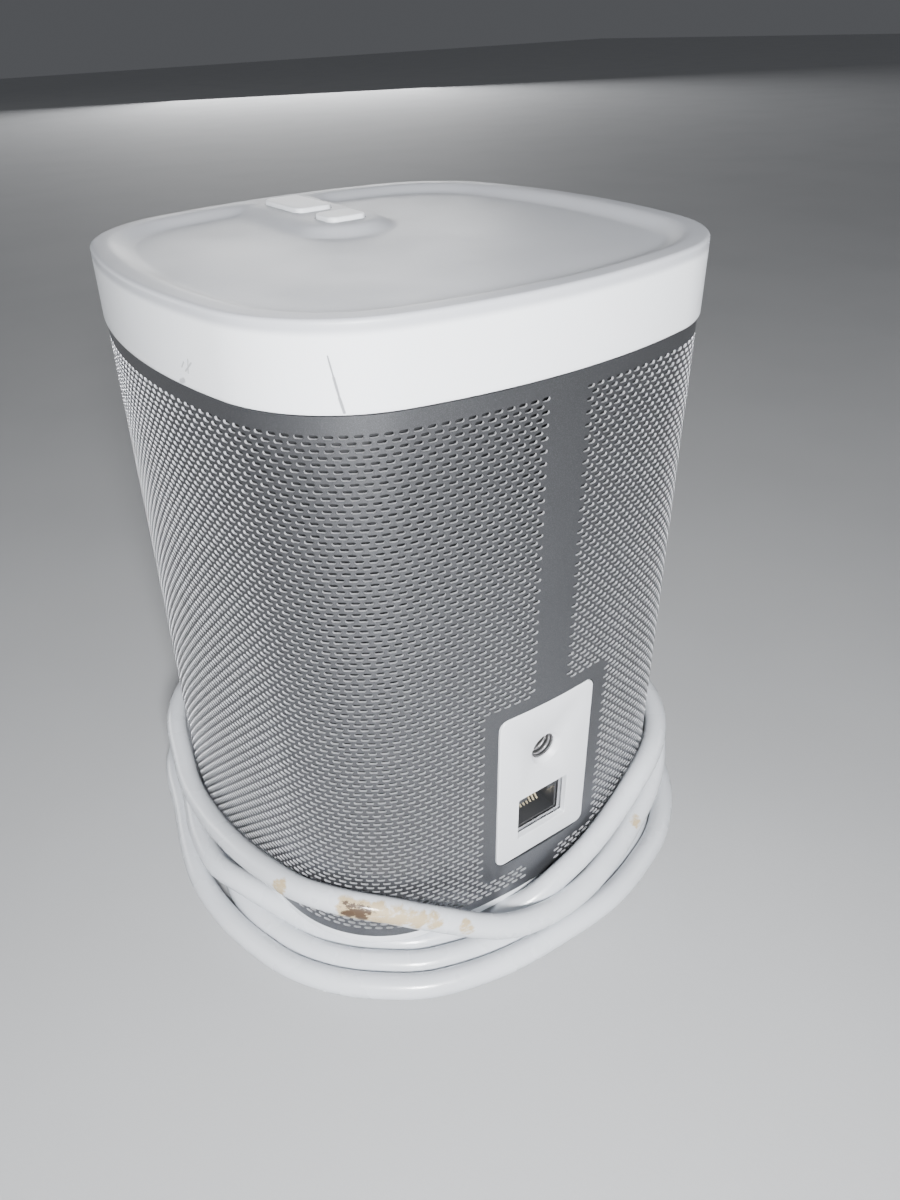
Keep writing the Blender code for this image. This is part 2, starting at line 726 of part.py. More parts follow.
def build_network_socket():
    front = PANEL_FACE - PANEL_THICK - GAP
    middle = sum(SOCKET_Z) / 2
    back = MAIN_BOARD_Y + BOARD_THICK + GAP
    low = (-8.0 * MM, back, middle - 6.9 * MM)
    high = (8.0 * MM, front, middle + 6.9 * MM)
    shield = add_object("network_socket_shield", block("shield", low, high), STEEL)
    cavity = (-6.45 * MM, back + 0.8 * MM, middle - 5.35 * MM)
    mouth = (6.45 * MM, front + 1.0 * MM, middle + 5.35 * MM)
    combine(shield, "cavity", block("cavity", cavity, mouth))
    low = (cavity[0] + GAP, cavity[1] + GAP, cavity[2] + GAP)
    high = (-cavity[0] - GAP, front - GAP, mouth[2] - GAP)
    insert = add_object("network_socket_insert", block("insert", low, high), BLACK)
    floor = middle - 4.6 * MM
    roof = floor + 6.9 * MM
    port_low = (-5.6 * MM, front - 12.5 * MM, floor)
    combine(insert, "port", block("port", port_low, (5.6 * MM, front + 1.0 * MM, roof)))
    notch_low = (-3.1 * MM, front - 10.0 * MM, roof - 1.0 * MM)
    notch_high = (3.1 * MM, front + 1.0 * MM, roof + 2.2 * MM)
    combine(insert, "notch", block("notch", notch_low, notch_high))
    carrier_low = (-4.4 * MM, front - 9.6 * MM, floor + 3.2 * MM)
    carrier_high = (4.4 * MM, front - 8.4 * MM, floor + 4.8 * MM)
    carrier = block("carrier", carrier_low, carrier_high)
    contacts = add_object("network_socket_contacts", carrier, GOLD)
    for k in range(8):
        x = (k - 3.5) * 1.02 * MM
        y, z = front - 4.0 * MM, floor + GAP
        section = [
            (y, z),
            (y - 4.6 * MM, z + 4.0 * MM),
            (y - 4.9 * MM, z + 3.7 * MM),
            (y - 0.5 * MM, z - 0.05 * MM),
        ]
        rings = [[(x + dx, py, pz) for py, pz in section] for dx in (-0.2 * MM, 0.2 * MM)]
        combine(contacts, "wire_%d" % k, loft("wire", rings), "UNION")


def half_body(name, inset, z_range, y_range):
    """A prism of the cabinet's outline, kept only between two depths."""
    outline = []
    points = plan(inset)
    y0, y1 = y_range
    for (ax, ay), (bx, by) in zip(points, points[1:] + points[:1]):
        if y0 <= ay <= y1:
            outline.append((ax, ay))
        for edge in (y0, y1):
            if (ay - edge) * (by - edge) < 0:
                share = (edge - ay) / (by - ay)
                outline.append((ax + (bx - ax) * share, edge))
    return loft(name, [level(outline, z) for z in z_range])


def build_core():
    """The sealed chamber in front and the electronics housing behind it."""
    wall = 2.5 * MM
    front = BAFFLE_FRONT + BAFFLE_THICK + GAP
    outer = half_body("chamber", CORE_INSET, (CORE_BOTTOM, CORE_TOP), (front, DIVIDER_Y))
    chamber = add_object("acoustic_chamber", outer, BLACK)
    inner = half_body(
        "chamber_hollow",
        CORE_INSET + wall,
        (CORE_BOTTOM + wall, CORE_TOP - wall),
        (front - 20.0 * MM, DIVIDER_Y - wall),
    )
    combine(chamber, "hollow", inner)
    low = (-11.6 * MM, INLET_Y - 7.6 * MM, CORE_BOTTOM - 2.0 * MM)
    high = (11.6 * MM, INLET_Y + 7.6 * MM, CORE_BOTTOM + wall + 2.0 * MM)
    combine(chamber, "inlet_hole", block("inlet_hole", low, high))
    back = DIVIDER_Y + GAP
    outer = half_body("housing", CORE_INSET, (CORE_BOTTOM, CORE_TOP), (back, 70.0 * MM))
    housing = add_object("rear_housing", outer, BLACK)
    wall = 2.0 * MM
    inner = half_body(
        "housing_hollow",
        CORE_INSET + wall,
        (CORE_BOTTOM + wall, CORE_TOP - wall),
        (back - 10.0 * MM, 70.0 * MM),
    )
    combine(housing, "hollow", inner)
    middle = sum(SOCKET_Z) / 2
    low = (-8.4 * MM, 50.0 * MM, middle - 7.3 * MM)
    high = (8.4 * MM, 60.0 * MM, middle + 7.3 * MM)
    combine(housing, "socket_window", block("socket_window", low, high))
    place = (0.0, 50.0 * MM, INSERT_Z)
    combine(housing, "insert_bore", rod("insert_bore", place, 4.75 * MM, 10.0 * MM, "Y", 28))
    low = (-6.0 * MM, 32.0 * MM, CORE_TOP - 2.0 * wall)
    high = (6.0 * MM, 39.6 * MM, CORE_TOP + wall)
    combine(housing, "cable_slot", block("cable_slot", low, high))


def build_baffle():
    half = (45.5 * MM, (CORE_TOP - CORE_BOTTOM) / 2 - 1.0 * MM)
    centre = (0.0, (CORE_TOP + CORE_BOTTOM) / 2)
    levels = (BAFFLE_FRONT, BAFFLE_FRONT + BAFFLE_THICK)
    baffle = upright("front_baffle", centre, half, 6.0 * MM, levels)
    baffle = add_object("front_baffle", baffle, BLACK)
    for tag, z, radius in (("woofer", WOOFER_Z, 38.6 * MM), ("tweeter", TWEETER_Z, 13.8 * MM)):
        place = (0.0, BAFFLE_FRONT - 5.0 * MM, z)
        hole = rod(tag + "_hole", place, radius, 20.0 * MM, "Y", 36)
        combine(baffle, tag + "_hole", hole)
    for k, (x, z) in enumerate(woofer_screw_places()):
        place = (x, BAFFLE_FRONT - 5.0 * MM, z)
        hole = rod("screw_hole", place, 1.2 * MM, 20.0 * MM, "Y", 12)
        combine(baffle, "screw_hole_%d" % k, hole)


# ---------------------------------------------------------------- drivers
def woofer_screw_places():
    reach = 40.9 * MM
    turns = [math.radians(45 + 90 * k) for k in range(4)]
    return [(reach * math.cos(t), WOOFER_Z + reach * math.sin(t)) for t in turns]


def build_woofer():
    face = BAFFLE_FRONT - GAP
    place = (0.0, 0.0, WOOFER_Z)
    basket = [
        (37.6 * MM, face - 1.8 * MM),
        (WOOFER_RADIUS, face - 1.8 * MM),
        (WOOFER_RADIUS, face),
        (38.2 * MM, face),
        (34.0 * MM, face + 21.0 * MM),
        (15.5 * MM, face + 21.0 * MM),
        (15.5 * MM, face + 19.8 * MM),
        (33.0 * MM, face + 19.8 * MM),
        (36.9 * MM, face + 0.6 * MM),
        (37.6 * MM, face - 0.2 * MM),
    ]
    mesh = turned("woofer_basket", basket, place, "Y", 36)
    basket = add_object("woofer_basket", mesh, STEEL)
    for k in range(3):
        angle = math.pi * (k + 0.5) / 3
        reach = 60.0 * MM
        half = 7.0 * MM
        across = Vector((math.cos(angle), 0.0, math.sin(angle)))
        along = Vector((-math.sin(angle), 0.0, math.cos(angle)))
        corners = []
        for a, b in ((-1, -1), (1, -1), (1, 1), (-1, 1)):
            corners.append(across * (a * reach) + along * (b * half))
        rings = []
        for depth in (face + 4.0 * MM, face + 17.0 * MM):
            rings.append([(c.x, depth, c.z + WOOFER_Z) for c in corners])
        combine(basket, "window_%d" % k, loft("basket_window", rings))
    for k, (x, z) in enumerate(woofer_screw_places()):
        start = (x, face - 4.0 * MM, z)
        hole = rod("screw_hole", start, 1.2 * MM, 8.0 * MM, "Y", 12)
        combine(basket, "screw_hole_%d" % k, hole)
        profile = [
            (0.0, -3.2 * MM),
            (1.4 * MM, -2.9 * MM),
            (1.7 * MM, -2.1 * MM),
            (0.8 * MM, -2.1 * MM),
            (0.8 * MM, 6.0 * MM),
            (0.0, 6.6 * MM),
        ]
        screw = turned("screw", profile, (x, face, z), "Y", 12, closed=False)
        add_object("woofer_screw_%d" % (k + 1), screw, STEEL)
    back = face + 21.3 * MM
    magnet = [
        (0.0, back - 2.0 * MM),
        (11.9 * MM, back - 2.0 * MM),
        (11.9 * MM, back + 13.0 * MM),
        (14.7 * MM, back + 13.0 * MM),
        (14.7 * MM, back),
        (33.0 * MM, back),
        (33.0 * MM, back + 4.0 * MM),
        (35.0 * MM, back + 4.4 * MM),
        (35.0 * MM, back + 14.0 * MM),
        (33.0 * MM, back + 14.4 * MM),
        (33.0 * MM, back + 17.0 * MM),
        (0.0, back + 17.0 * MM),
    ]
    mesh = turned("woofer_magnet", magnet, place, "Y", 36, closed=False)
    add_object("woofer_magnet", mesh, FERRITE)
    cone = [
        (33.5 * MM, face - 0.9 * MM),
        (33.5 * MM, face),
        (14.2 * MM, face + 12.0 * MM),
        (12.9 * MM, face + 12.0 * MM),
        (12.9 * MM, face + 11.0 * MM),
        (28.5 * MM, face + 1.0 * MM),
    ]
    origin = (0.0, face, WOOFER_Z)
    mesh = turned("woofer_cone", cone, place, "Y", 36)
    add_object("woofer_cone", mesh, CONE_GREY, origin)
    cap = []
    for k in range(5):
        angle = math.radians(22.5 * k)
        cap.append((12.4 * MM * math.sin(angle), face + 10.5 * MM - 5.0 * MM * math.cos(angle)))
    for k in range(4, -1, -1):
        angle = math.radians(22.5 * k)
        cap.append((11.8 * MM * math.sin(angle), face + 11.1 * MM - 5.0 * MM * math.cos(angle)))
    mesh = turned("woofer_dust_cap", cap, place, "Y", 24, closed=False)
    add_object("woofer_dust_cap", mesh, CONE_GREY, origin)
    coil = [
        (12.6 * MM, face + 12.5 * MM),
        (13.6 * MM, face + 12.5 * MM),
        (13.6 * MM, face + 29.0 * MM),
        (12.6 * MM, face + 29.0 * MM),
    ]
    add_object("woofer_voice_coil", turned("woofer_voice_coil", coil, place), COPPER, origin)
    roll = []
    for radius, order in ((1.7 * MM, range(5)), (1.1 * MM, range(4, -1, -1))):
        for k in order:
            angle = math.radians(180 - 45 * k)
            across = 35.5 * MM + radius * math.cos(angle)
            roll.append((across, face - 0.9 * MM - radius * math.sin(angle)))
    add_object("woofer_surround", turned("woofer_surround", roll, place, "Y", 36), RUBBER)
    spider = []
    for depth, order in ((17.4 * MM, range(6)), (18.0 * MM, range(5, -1, -1))):
        for k in order:
            wave = 0.8 * MM if k % 2 else 0.0
            spider.append(((14.4 + 3.4 * k) * MM, face + depth + wave))
    mesh = turned("woofer_spider", spider, place, "Y", 28)
    add_object("woofer_spider", mesh, ((0.55, 0.42, 0.2, 1.0), 0.9, 0.0))


def build_tweeter():
    face = BAFFLE_FRONT - GAP
    place = (0.0, 0.0, TWEETER_Z)
    plate = [
        (11.3 * MM, face - 1.2 * MM),
        (13.0 * MM, face - 1.8 * MM),
        (TWEETER_RADIUS, face - 1.8 * MM),
        (TWEETER_RADIUS, face),
        (11.3 * MM, face),
    ]
    mesh = turned("tweeter_faceplate", plate, place, "Y", 28)
    add_object("tweeter_faceplate", mesh, BLACK)
    dome = []
    for k in range(5):
        angle = math.radians(22.5 * k)
        dome.append((10.6 * MM * math.sin(angle), face - 4.2 * MM * math.cos(angle)))
    dome.append((10.6 * MM, face + 4.0 * MM))
    dome.append((10.2 * MM, face + 4.0 * MM))
    for k in range(4, -1, -1):
        angle = math.radians(22.5 * k)
        dome.append((10.2 * MM * math.sin(angle), face + 0.4 * MM - 4.2 * MM * math.cos(angle)))
    mesh = turned("tweeter_dome", dome, place, "Y", 24, closed=False)
    add_object("tweeter_dome", mesh, ALUMINIUM, (0.0, face, TWEETER_Z))
    magnet = [
        (0.0, face + 1.6 * MM),
        (9.6 * MM, face + 1.6 * MM),
        (9.6 * MM, face + 6.0 * MM),
        (11.2 * MM, face + 6.0 * MM),
        (11.2 * MM, face + GAP),
        (13.3 * MM, face + GAP),
        (13.3 * MM, face + 14.0 * MM),
        (0.0, face + 14.0 * MM),
    ]
    mesh = turned("tweeter_magnet", magnet, place, "Y", 24, closed=False)
    add_object("tweeter_magnet", mesh, FERRITE)


def build_damping():
    front = DIVIDER_Y - 2.5 * MM - GAP - 10.0 * MM
    mesh = upright(
        "damping_pad", (0.0, 78.0 * MM), (42.0 * MM, 52.0 * MM), 6.0 * MM, (front, front + 10.0 * MM)
    )
    add_object("damping_pad", mesh, FOAM)


# ---------------------------------------------------------------- electronics
def build_boards():
    y = MAIN_BOARD_Y
    mesh = upright("main_board", (0.0, 76.0 * MM), (36.0 * MM, 58.0 * MM), 2.0 * MM, (y, y + BOARD_THICK))
    add_object("main_board", mesh, BOARD_GREEN)
    rear = y + BOARD_THICK + GAP
    base = block("fins", (8.0 * MM, rear, 66.0 * MM), (30.0 * MM, rear + 2.0 * MM, 100.0 * MM))
    sink = add_object("heat_sink", base, ALUMINIUM)
    for k in range(6):
        x = (9.0 + 3.8 * k) * MM
        low = (x, rear + 1.0 * MM, 66.0 * MM)
        high = (x + 1.2 * MM, rear + 7.0 * MM, 100.0 * MM)
        combine(sink, "fin_%d" % k, block("fin", low, high), "UNION")
    front = y - GAP
    low = (-10.0 * MM, front - 1.4 * MM, 92.0 * MM)
    high = (8.0 * MM, front, 110.0 * MM)
    add_object("processor_chip", block("processor_chip", low, high), BLACK)
    y = POWER_BOARD_Y
    mesh = upright("power_board", (0.0, 54.0 * MM), (40.0 * MM, 34.0 * MM), 2.0 * MM, (y, y + BOARD_THICK))
    add_object("power_board", mesh, BOARD_GREEN)
    rear = y + BOARD_THICK + GAP
    mesh = block("transformer", (-30.0 * MM, rear, 30.0 * MM), (-8.0 * MM, rear + 11.0 * MM, 52.0 * MM))
    add_object("power_transformer", mesh, FERRITE)
    place = (12.0 * MM, rear, 40.0 * MM)
    can = rod("power_capacitor", place, 8.0 * MM, 11.0 * MM, "Y", 24)
    add_object("power_capacitor", can, BLACK)
    for name, side in (("antenna_left", -1), ("antenna_right", 1)):
        x = sorted((side * 41.0 * MM, side * 46.0 * MM))
        mesh = block(name, (x[0], 30.0 * MM, 92.0 * MM), (x[1], 31.0 * MM, 132.0 * MM))
        add_object(name, mesh, BOARD_GREEN)


def build_ribbon():
    """The flat cable from the key board down to the main board."""
    width = 5.0 * MM
    thick = 0.35 * MM
    line = [(-12.2, 149.0 - 0.7), (0.0, 148.2), (24.0, 148.0), (33.0, 146.5), (36.5, 141.5)]
    line = [(y * MM, z * MM) for y, z in line] + [(38.0 * MM, 135.0 * MM), (39.4 * MM, 128.0 * MM)]
    rings = []
    for k, (y, z) in enumerate(line):
        before = line[max(k - 1, 0)]
        after = line[min(k + 1, len(line) - 1)]
        along = Vector((after[0] - before[0], after[1] - before[1])).normalized()
        across = Vector((-along.y, along.x)) * thick / 2
        ring = []
        for x, side in ((-width, -1), (width, -1), (width, 1), (-width, 1)):
            ring.append((x, y + across.x * side, z + across.y * side))
        rings.append(ring)
    look = ((0.75, 0.76, 0.78, 1.0), 0.5, 0.0)
    add_object("ribbon_cable", loft("ribbon_cable", rings), look)


# ---------------------------------------------------------------- base and lead
def channel_outline():
    """The groove for the lead, from the connector to the back left edge."""
    return [
        (-11.0 * MM, INLET_Y - 9.6 * MM),
        (11.0 * MM, INLET_Y - 9.6 * MM),
        (11.0 * MM, INLET_Y + 9.6 * MM),
        (5.2 * MM, INLET_Y + 9.6 * MM),
        (5.2 * MM, 26.0 * MM),
        (4.0 * MM, 36.0 * MM),
        (0.0, 44.0 * MM),
        (-4.0 * MM, 64.0 * MM),
        (-40.0 * MM, 64.0 * MM),
        (-20.0 * MM, 44.0 * MM),
        (-11.0 * MM, 36.5 * MM),
        (-6.4 * MM, 28.0 * MM),
        (-5.2 * MM, 22.0 * MM),
        (-5.2 * MM, INLET_Y + 9.6 * MM),
        (-11.0 * MM, INLET_Y + 9.6 * MM),
    ]


def base_screw_places():
    return [(x * MM, y * MM) for x in (-36.0, 36.0) for y in (-36.0, 36.0)]


def build_base():
    steps = [
        (RING_INSET + 0.4 * MM, RING_BOTTOM),
        (RING_INSET, RING_BOTTOM + 0.4 * MM),
        (RING_INSET, GRILLE_BOTTOM - GAP),
        (4.4 * MM, GRILLE_BOTTOM - GAP),
        (4.4 * MM, RING_BOTTOM),
    ]
    add_object("base_ring", loft("base_ring", plan_rings(steps), closed=True), WHITE)
    steps = [
        (PEDESTAL_INSET + 0.6 * MM, FOOT_THICK + GAP),
        (PEDESTAL_INSET, FOOT_THICK + GAP + 0.6 * MM),
        (PEDESTAL_INSET, RING_BOTTOM),
        (4.7 * MM, RING_BOTTOM),
        (4.7 * MM, CORE_BOTTOM - GAP),
    ]
    cover = add_object("bottom_cover", loft("bottom_cover", plan_rings(steps)), WHITE)
    groove = [level(channel_outline(), z) for z in (-0.01, RING_BOTTOM + 0.9 * MM)]
    combine(cover, "lead_channel", loft("lead_channel", groove))
    low = (-11.6 * MM, INLET_Y - 7.6 * MM, 0.0)
    high = (11.6 * MM, INLET_Y + 7.6 * MM, 0.03)
    combine(cover, "inlet_hole", block("cover_inlet_hole", low, high))
    foot_steps = [(FOOT_INSET, 0.0), (FOOT_INSET, FOOT_THICK)]
    foot = add_object("rubber_foot", loft("rubber_foot", plan_rings(foot_steps)), RUBBER)
    combine(foot, "lead_channel", loft("foot_channel", groove))
    for k, (x, y) in enumerate(base_screw_places()):
        head = rod("head_recess", (x, y, -0.01), 3.4 * MM, 0.01 + 5.2 * MM, steps=16)
        combine(cover, "screw_recess_%d" % k, head)
        shank = rod("screw_hole", (x, y, 0.0), 1.6 * MM, 0.03, steps=14)
        combine(cover, "screw_hole_%d" % k, shank)
        place = rod("foot_hole", (x, y, -0.01), 3.6 * MM, 0.02, steps=16)
        combine(foot, "screw_hole_%d" % k, place)
        profile = [
            (0.0, 3.2 * MM),
            (2.7 * MM, 3.2 * MM),
            (2.7 * MM, 4.9 * MM),
            (1.25 * MM, 4.9 * MM),
            (1.25 * MM, 11.6 * MM),
            (0.0, 11.6 * MM),
        ]
        screw = turned("screw", profile, (x, y, 0.0), "Z", 14, closed=False)
        add_object("base_screw_%d" % (k + 1), screw, STEEL)


def build_inlet():
    low = (-11.2 * MM, INLET_Y - 7.2 * MM, RING_BOTTOM + 1.1 * MM)
    high = (11.2 * MM, INLET_Y + 7.2 * MM, 20.0 * MM)
    add_object("power_inlet", block("power_inlet", low, high), BLACK)
    bottom = 1.0 * MM
    mesh = slab(
        "cord_connector",
        (0.0, INLET_Y),
        (9.6 * MM, 8.4 * MM),
        3.0 * MM,
        (bottom, RING_BOTTOM + 0.7 * MM),
    )
    connector = add_object("cord_connector", mesh, WHITE)
    start = INLET_Y + 8.0 * MM
    profile = [
        (0.0, start),
        (3.3 * MM, start),
        (3.1 * MM, start + 8.0 * MM),
        (2.9 * MM, 24.1 * MM),
        (0.0, 24.1 * MM),
    ]
    relief = turned("strain_relief", profile, (0.0, 0.0, LEAD_Z), "Y", 16, closed=False)
    combine(connector, "strain_relief", relief, "UNION")


def wall_point(angle, out, height):
    """A point outside the grille: wall angle in degrees, the rest in metres."""
    outline = plan(GRILLE_INSET)
    loop = outline + outline[:1]
    lengths = [math.dist(p, q) for p, q in zip(loop, loop[1:])]
    total = sum(lengths)
    start = 3 * len(outline) // 4 + SIDE_STEPS // 2
    want = (angle % 360) / 360 * total
    k = start
    while want > lengths[k % len(lengths)]:
        want -= lengths[k % len(lengths)]
        k += 1
    p, q = loop[k % len(lengths)], loop[k % len(lengths) + 1]
    share = want / lengths[k % len(lengths)]
    along = Vector((q[0] - p[0], q[1] - p[1])).normalized()
    x = p[0] + (q[0] - p[0]) * share + along.y * out
    y = p[1] + (q[1] - p[1]) * share - along.x * out
    return (x, y, height)


def winding_reach(angle):
    """How far out and how high the turns reach near one wall angle, in metres."""
    out, top = 0.0, 0.0
    for (a0, out0, z0), (a1, out1, z1) in zip(WINDING, WINDING[1:]):
        for turn in range(6):
            want = angle + 360 * turn
            if a0 <= want <= a1:
                share = (want - a0) / (a1 - a0)
                out = max(out, out0 + (out1 - out0) * share)
                top = max(top, z0 + (z1 - z0) * share)
    return out * MM + CORD_RADIUS, top * MM + CORD_RADIUS


def build_winding():
    """One ring with the outer shape of all the turns."""
    rings = []
    stations = 60
    inner = -7.6 * MM
    for k in range(stations):
        angle = 360 * k / stations
        reach, top = winding_reach(angle)
        reach = min(reach, 17.6 * MM)
        section = [
            (inner, 0.4 * MM),
            (reach, 0.4 * MM),
            (reach, 2 * CORD_RADIUS + 0.6 * MM),
            (0.5 * MM + 2 * CORD_RADIUS, max(top, 12.0 * MM)),
            (0.5 * MM, max(top, 12.0 * MM)),
            (0.5 * MM, 7.6 * MM),
            (inner, 7.6 * MM),
        ]
        rings.append([wall_point(angle, out, z) for out, z in section])
    add_object("cord_winding", loft("cord_winding", rings, closed=True), WHITE)


def build_lead():
    tube("cord_lead", LEAD_UNDER, WHITE)
    tube("cord_tail", LEAD_TAIL, WHITE)
    y0, y1 = RELIEF_Y
    rings = []
    for k, share in enumerate((0.0, 0.25, 0.5, 0.75, 1.0)):
        rise = (1 - math.cos(share * math.pi)) / 2
        z = LEAD_TAIL[-1][2] * MM * (1 - rise) + PLUG_Z * rise
        radius = CORD_RADIUS + 0.2 * MM + 1.6 * MM * share
        ring = []
        for j in range(16):
            angle = 2 * math.pi * j / 16
            x = PLUG_X + radius * math.cos(angle)
            ring.append((x, y0 + (y1 - y0) * share, z + radius * math.sin(angle)))
        rings.append(ring)
    relief = loft("strain_relief", rings)
    y0, y1 = PLUG_Y
    levels = (y0, y0 - 7.0 * MM, y0 - 15.0 * MM, y1 + 1.0 * MM, y1)
    mesh = upright(
        "plug_body",
        (PLUG_X, PLUG_Z),
        (12.0 * MM, 7.4 * MM),
        3.0 * MM,
        levels,
        (-2.6 * MM, -1.0 * MM, 0.0, 0.0, -1.0 * MM),
    )
    body = add_object("plug_body", mesh, WHITE)
    combine(body, "strain_relief", relief, "UNION")
    bridge_low = (PLUG_X - 8.0 * MM, y1 + 3.0 * MM, PLUG_Z - 2.0 * MM)
    bridge_high = (PLUG_X + 8.0 * MM, y1 + 7.0 * MM, PLUG_Z + 2.0 * MM)
    blades = add_object("plug_blades", block("plug_blades", bridge_low, bridge_high), STEEL)
    pocket_low = [value - 0.35 * MM for value in bridge_low]
    pocket_high = [value + 0.35 * MM for value in bridge_high]
    combine(body, "bridge_pocket", block("bridge_pocket", pocket_low, pocket_high))
    for k, side in enumerate((-1, 1)):
        x = PLUG_X + side * 6.35 * MM
        slot_low = (x - 1.1 * MM, y1 - 1.0 * MM, PLUG_Z - 3.6 * MM)
        slot_high = (x + 1.1 * MM, y1 + 6.0 * MM, PLUG_Z + 3.6 * MM)
        combine(body, "blade_slot_%d" % k, block("blade_slot", slot_low, slot_high))
        low = (x - 0.75 * MM, y1 - 16.5 * MM, PLUG_Z - 3.2 * MM)
        high = (x + 0.75 * MM, y1 + 5.6 * MM, PLUG_Z + 3.2 * MM)
        combine(blades, "blade_%d" % k, block("blade", low, high), "UNION")


clear_scene()
build_top_cap()
build_keys()
build_key_board()
build_top_frame()
build_grille()
build_rear_panel()
build_threaded_insert()
build_network_socket()
build_core()
build_baffle()
build_woofer()
build_tweeter()
build_damping()
build_boards()
build_ribbon()
build_base()
build_inlet()
build_winding()
build_lead()
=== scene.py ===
"""The looks of the smart speaker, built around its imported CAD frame.

Metres, +Z up, the front faces -Y and the floor is z = 0, as in the CAD.
"""

import math

import bpy
import numpy as np
from mathutils import Matrix, Vector


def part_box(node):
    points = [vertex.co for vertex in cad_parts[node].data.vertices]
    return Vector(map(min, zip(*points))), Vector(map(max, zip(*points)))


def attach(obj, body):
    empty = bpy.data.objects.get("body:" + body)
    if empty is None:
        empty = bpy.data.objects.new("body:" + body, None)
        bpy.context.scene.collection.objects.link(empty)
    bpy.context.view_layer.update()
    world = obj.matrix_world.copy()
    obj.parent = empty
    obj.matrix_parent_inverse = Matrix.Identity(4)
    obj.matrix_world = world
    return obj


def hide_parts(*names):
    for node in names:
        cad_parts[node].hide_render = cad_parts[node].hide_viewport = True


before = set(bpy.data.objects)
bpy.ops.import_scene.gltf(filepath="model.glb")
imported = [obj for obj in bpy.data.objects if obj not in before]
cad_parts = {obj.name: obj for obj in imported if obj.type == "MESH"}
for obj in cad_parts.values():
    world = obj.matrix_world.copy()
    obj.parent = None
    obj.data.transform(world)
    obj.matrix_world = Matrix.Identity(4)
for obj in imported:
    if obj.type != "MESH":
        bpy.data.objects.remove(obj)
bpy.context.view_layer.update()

MM = 0.001
CAP_LOW, CAP_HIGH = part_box("top_cap")
GRILLE_LOW, GRILLE_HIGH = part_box("grille")
PANEL_LOW, PANEL_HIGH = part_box("rear_panel")
RING_LOW, RING_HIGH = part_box("base_ring")
PLUG_LOW, PLUG_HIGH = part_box("plug_body")

# The outline seen from above: four shallow sides joined by four tangent corners.
HALF = CAP_HIGH.x
SIDE_RADIUS = 143.0 * MM
CORNER_RADIUS = 31.5 * MM
SIDE_REACH = SIDE_RADIUS - HALF
ARC_GAP = SIDE_RADIUS - CORNER_RADIUS
CORNER_CENTRE = (math.sqrt(2 * ARC_GAP**2 - SIDE_REACH**2) - SIDE_REACH) / 2
SIDE_ANGLE = math.atan2(CORNER_CENTRE, CORNER_CENTRE + SIDE_REACH)
SIDE_STEPS = 20
CORNER_STEPS = 44

RIM_Z = CAP_HIGH.z
CAP_BOTTOM = CAP_LOW.z
RIM_WIDTH = 3.6 * MM
DISH_DEPTH = 1.9 * MM
GRILLE_INSET = HALF - GRILLE_HIGH.x
SHEET = 0.46 * MM

# The punched slots.
SLOT_LENGTH = 1.84 * MM
SLOT_HEIGHT = 0.80 * MM
SLOT_ROWS = 99
ROW_PITCH = 1.288 * MM
TOP_ROW_Z = 140.35 * MM
HALF_PITCHES = 302
STRIP_HALF_WIDTH = 5.45 * MM
PANEL_MARGIN = (17.3 * MM, 18.3 * MM, 70.9 * MM, 3.4 * MM)

CORD_DIAMETER = 5.8 * MM
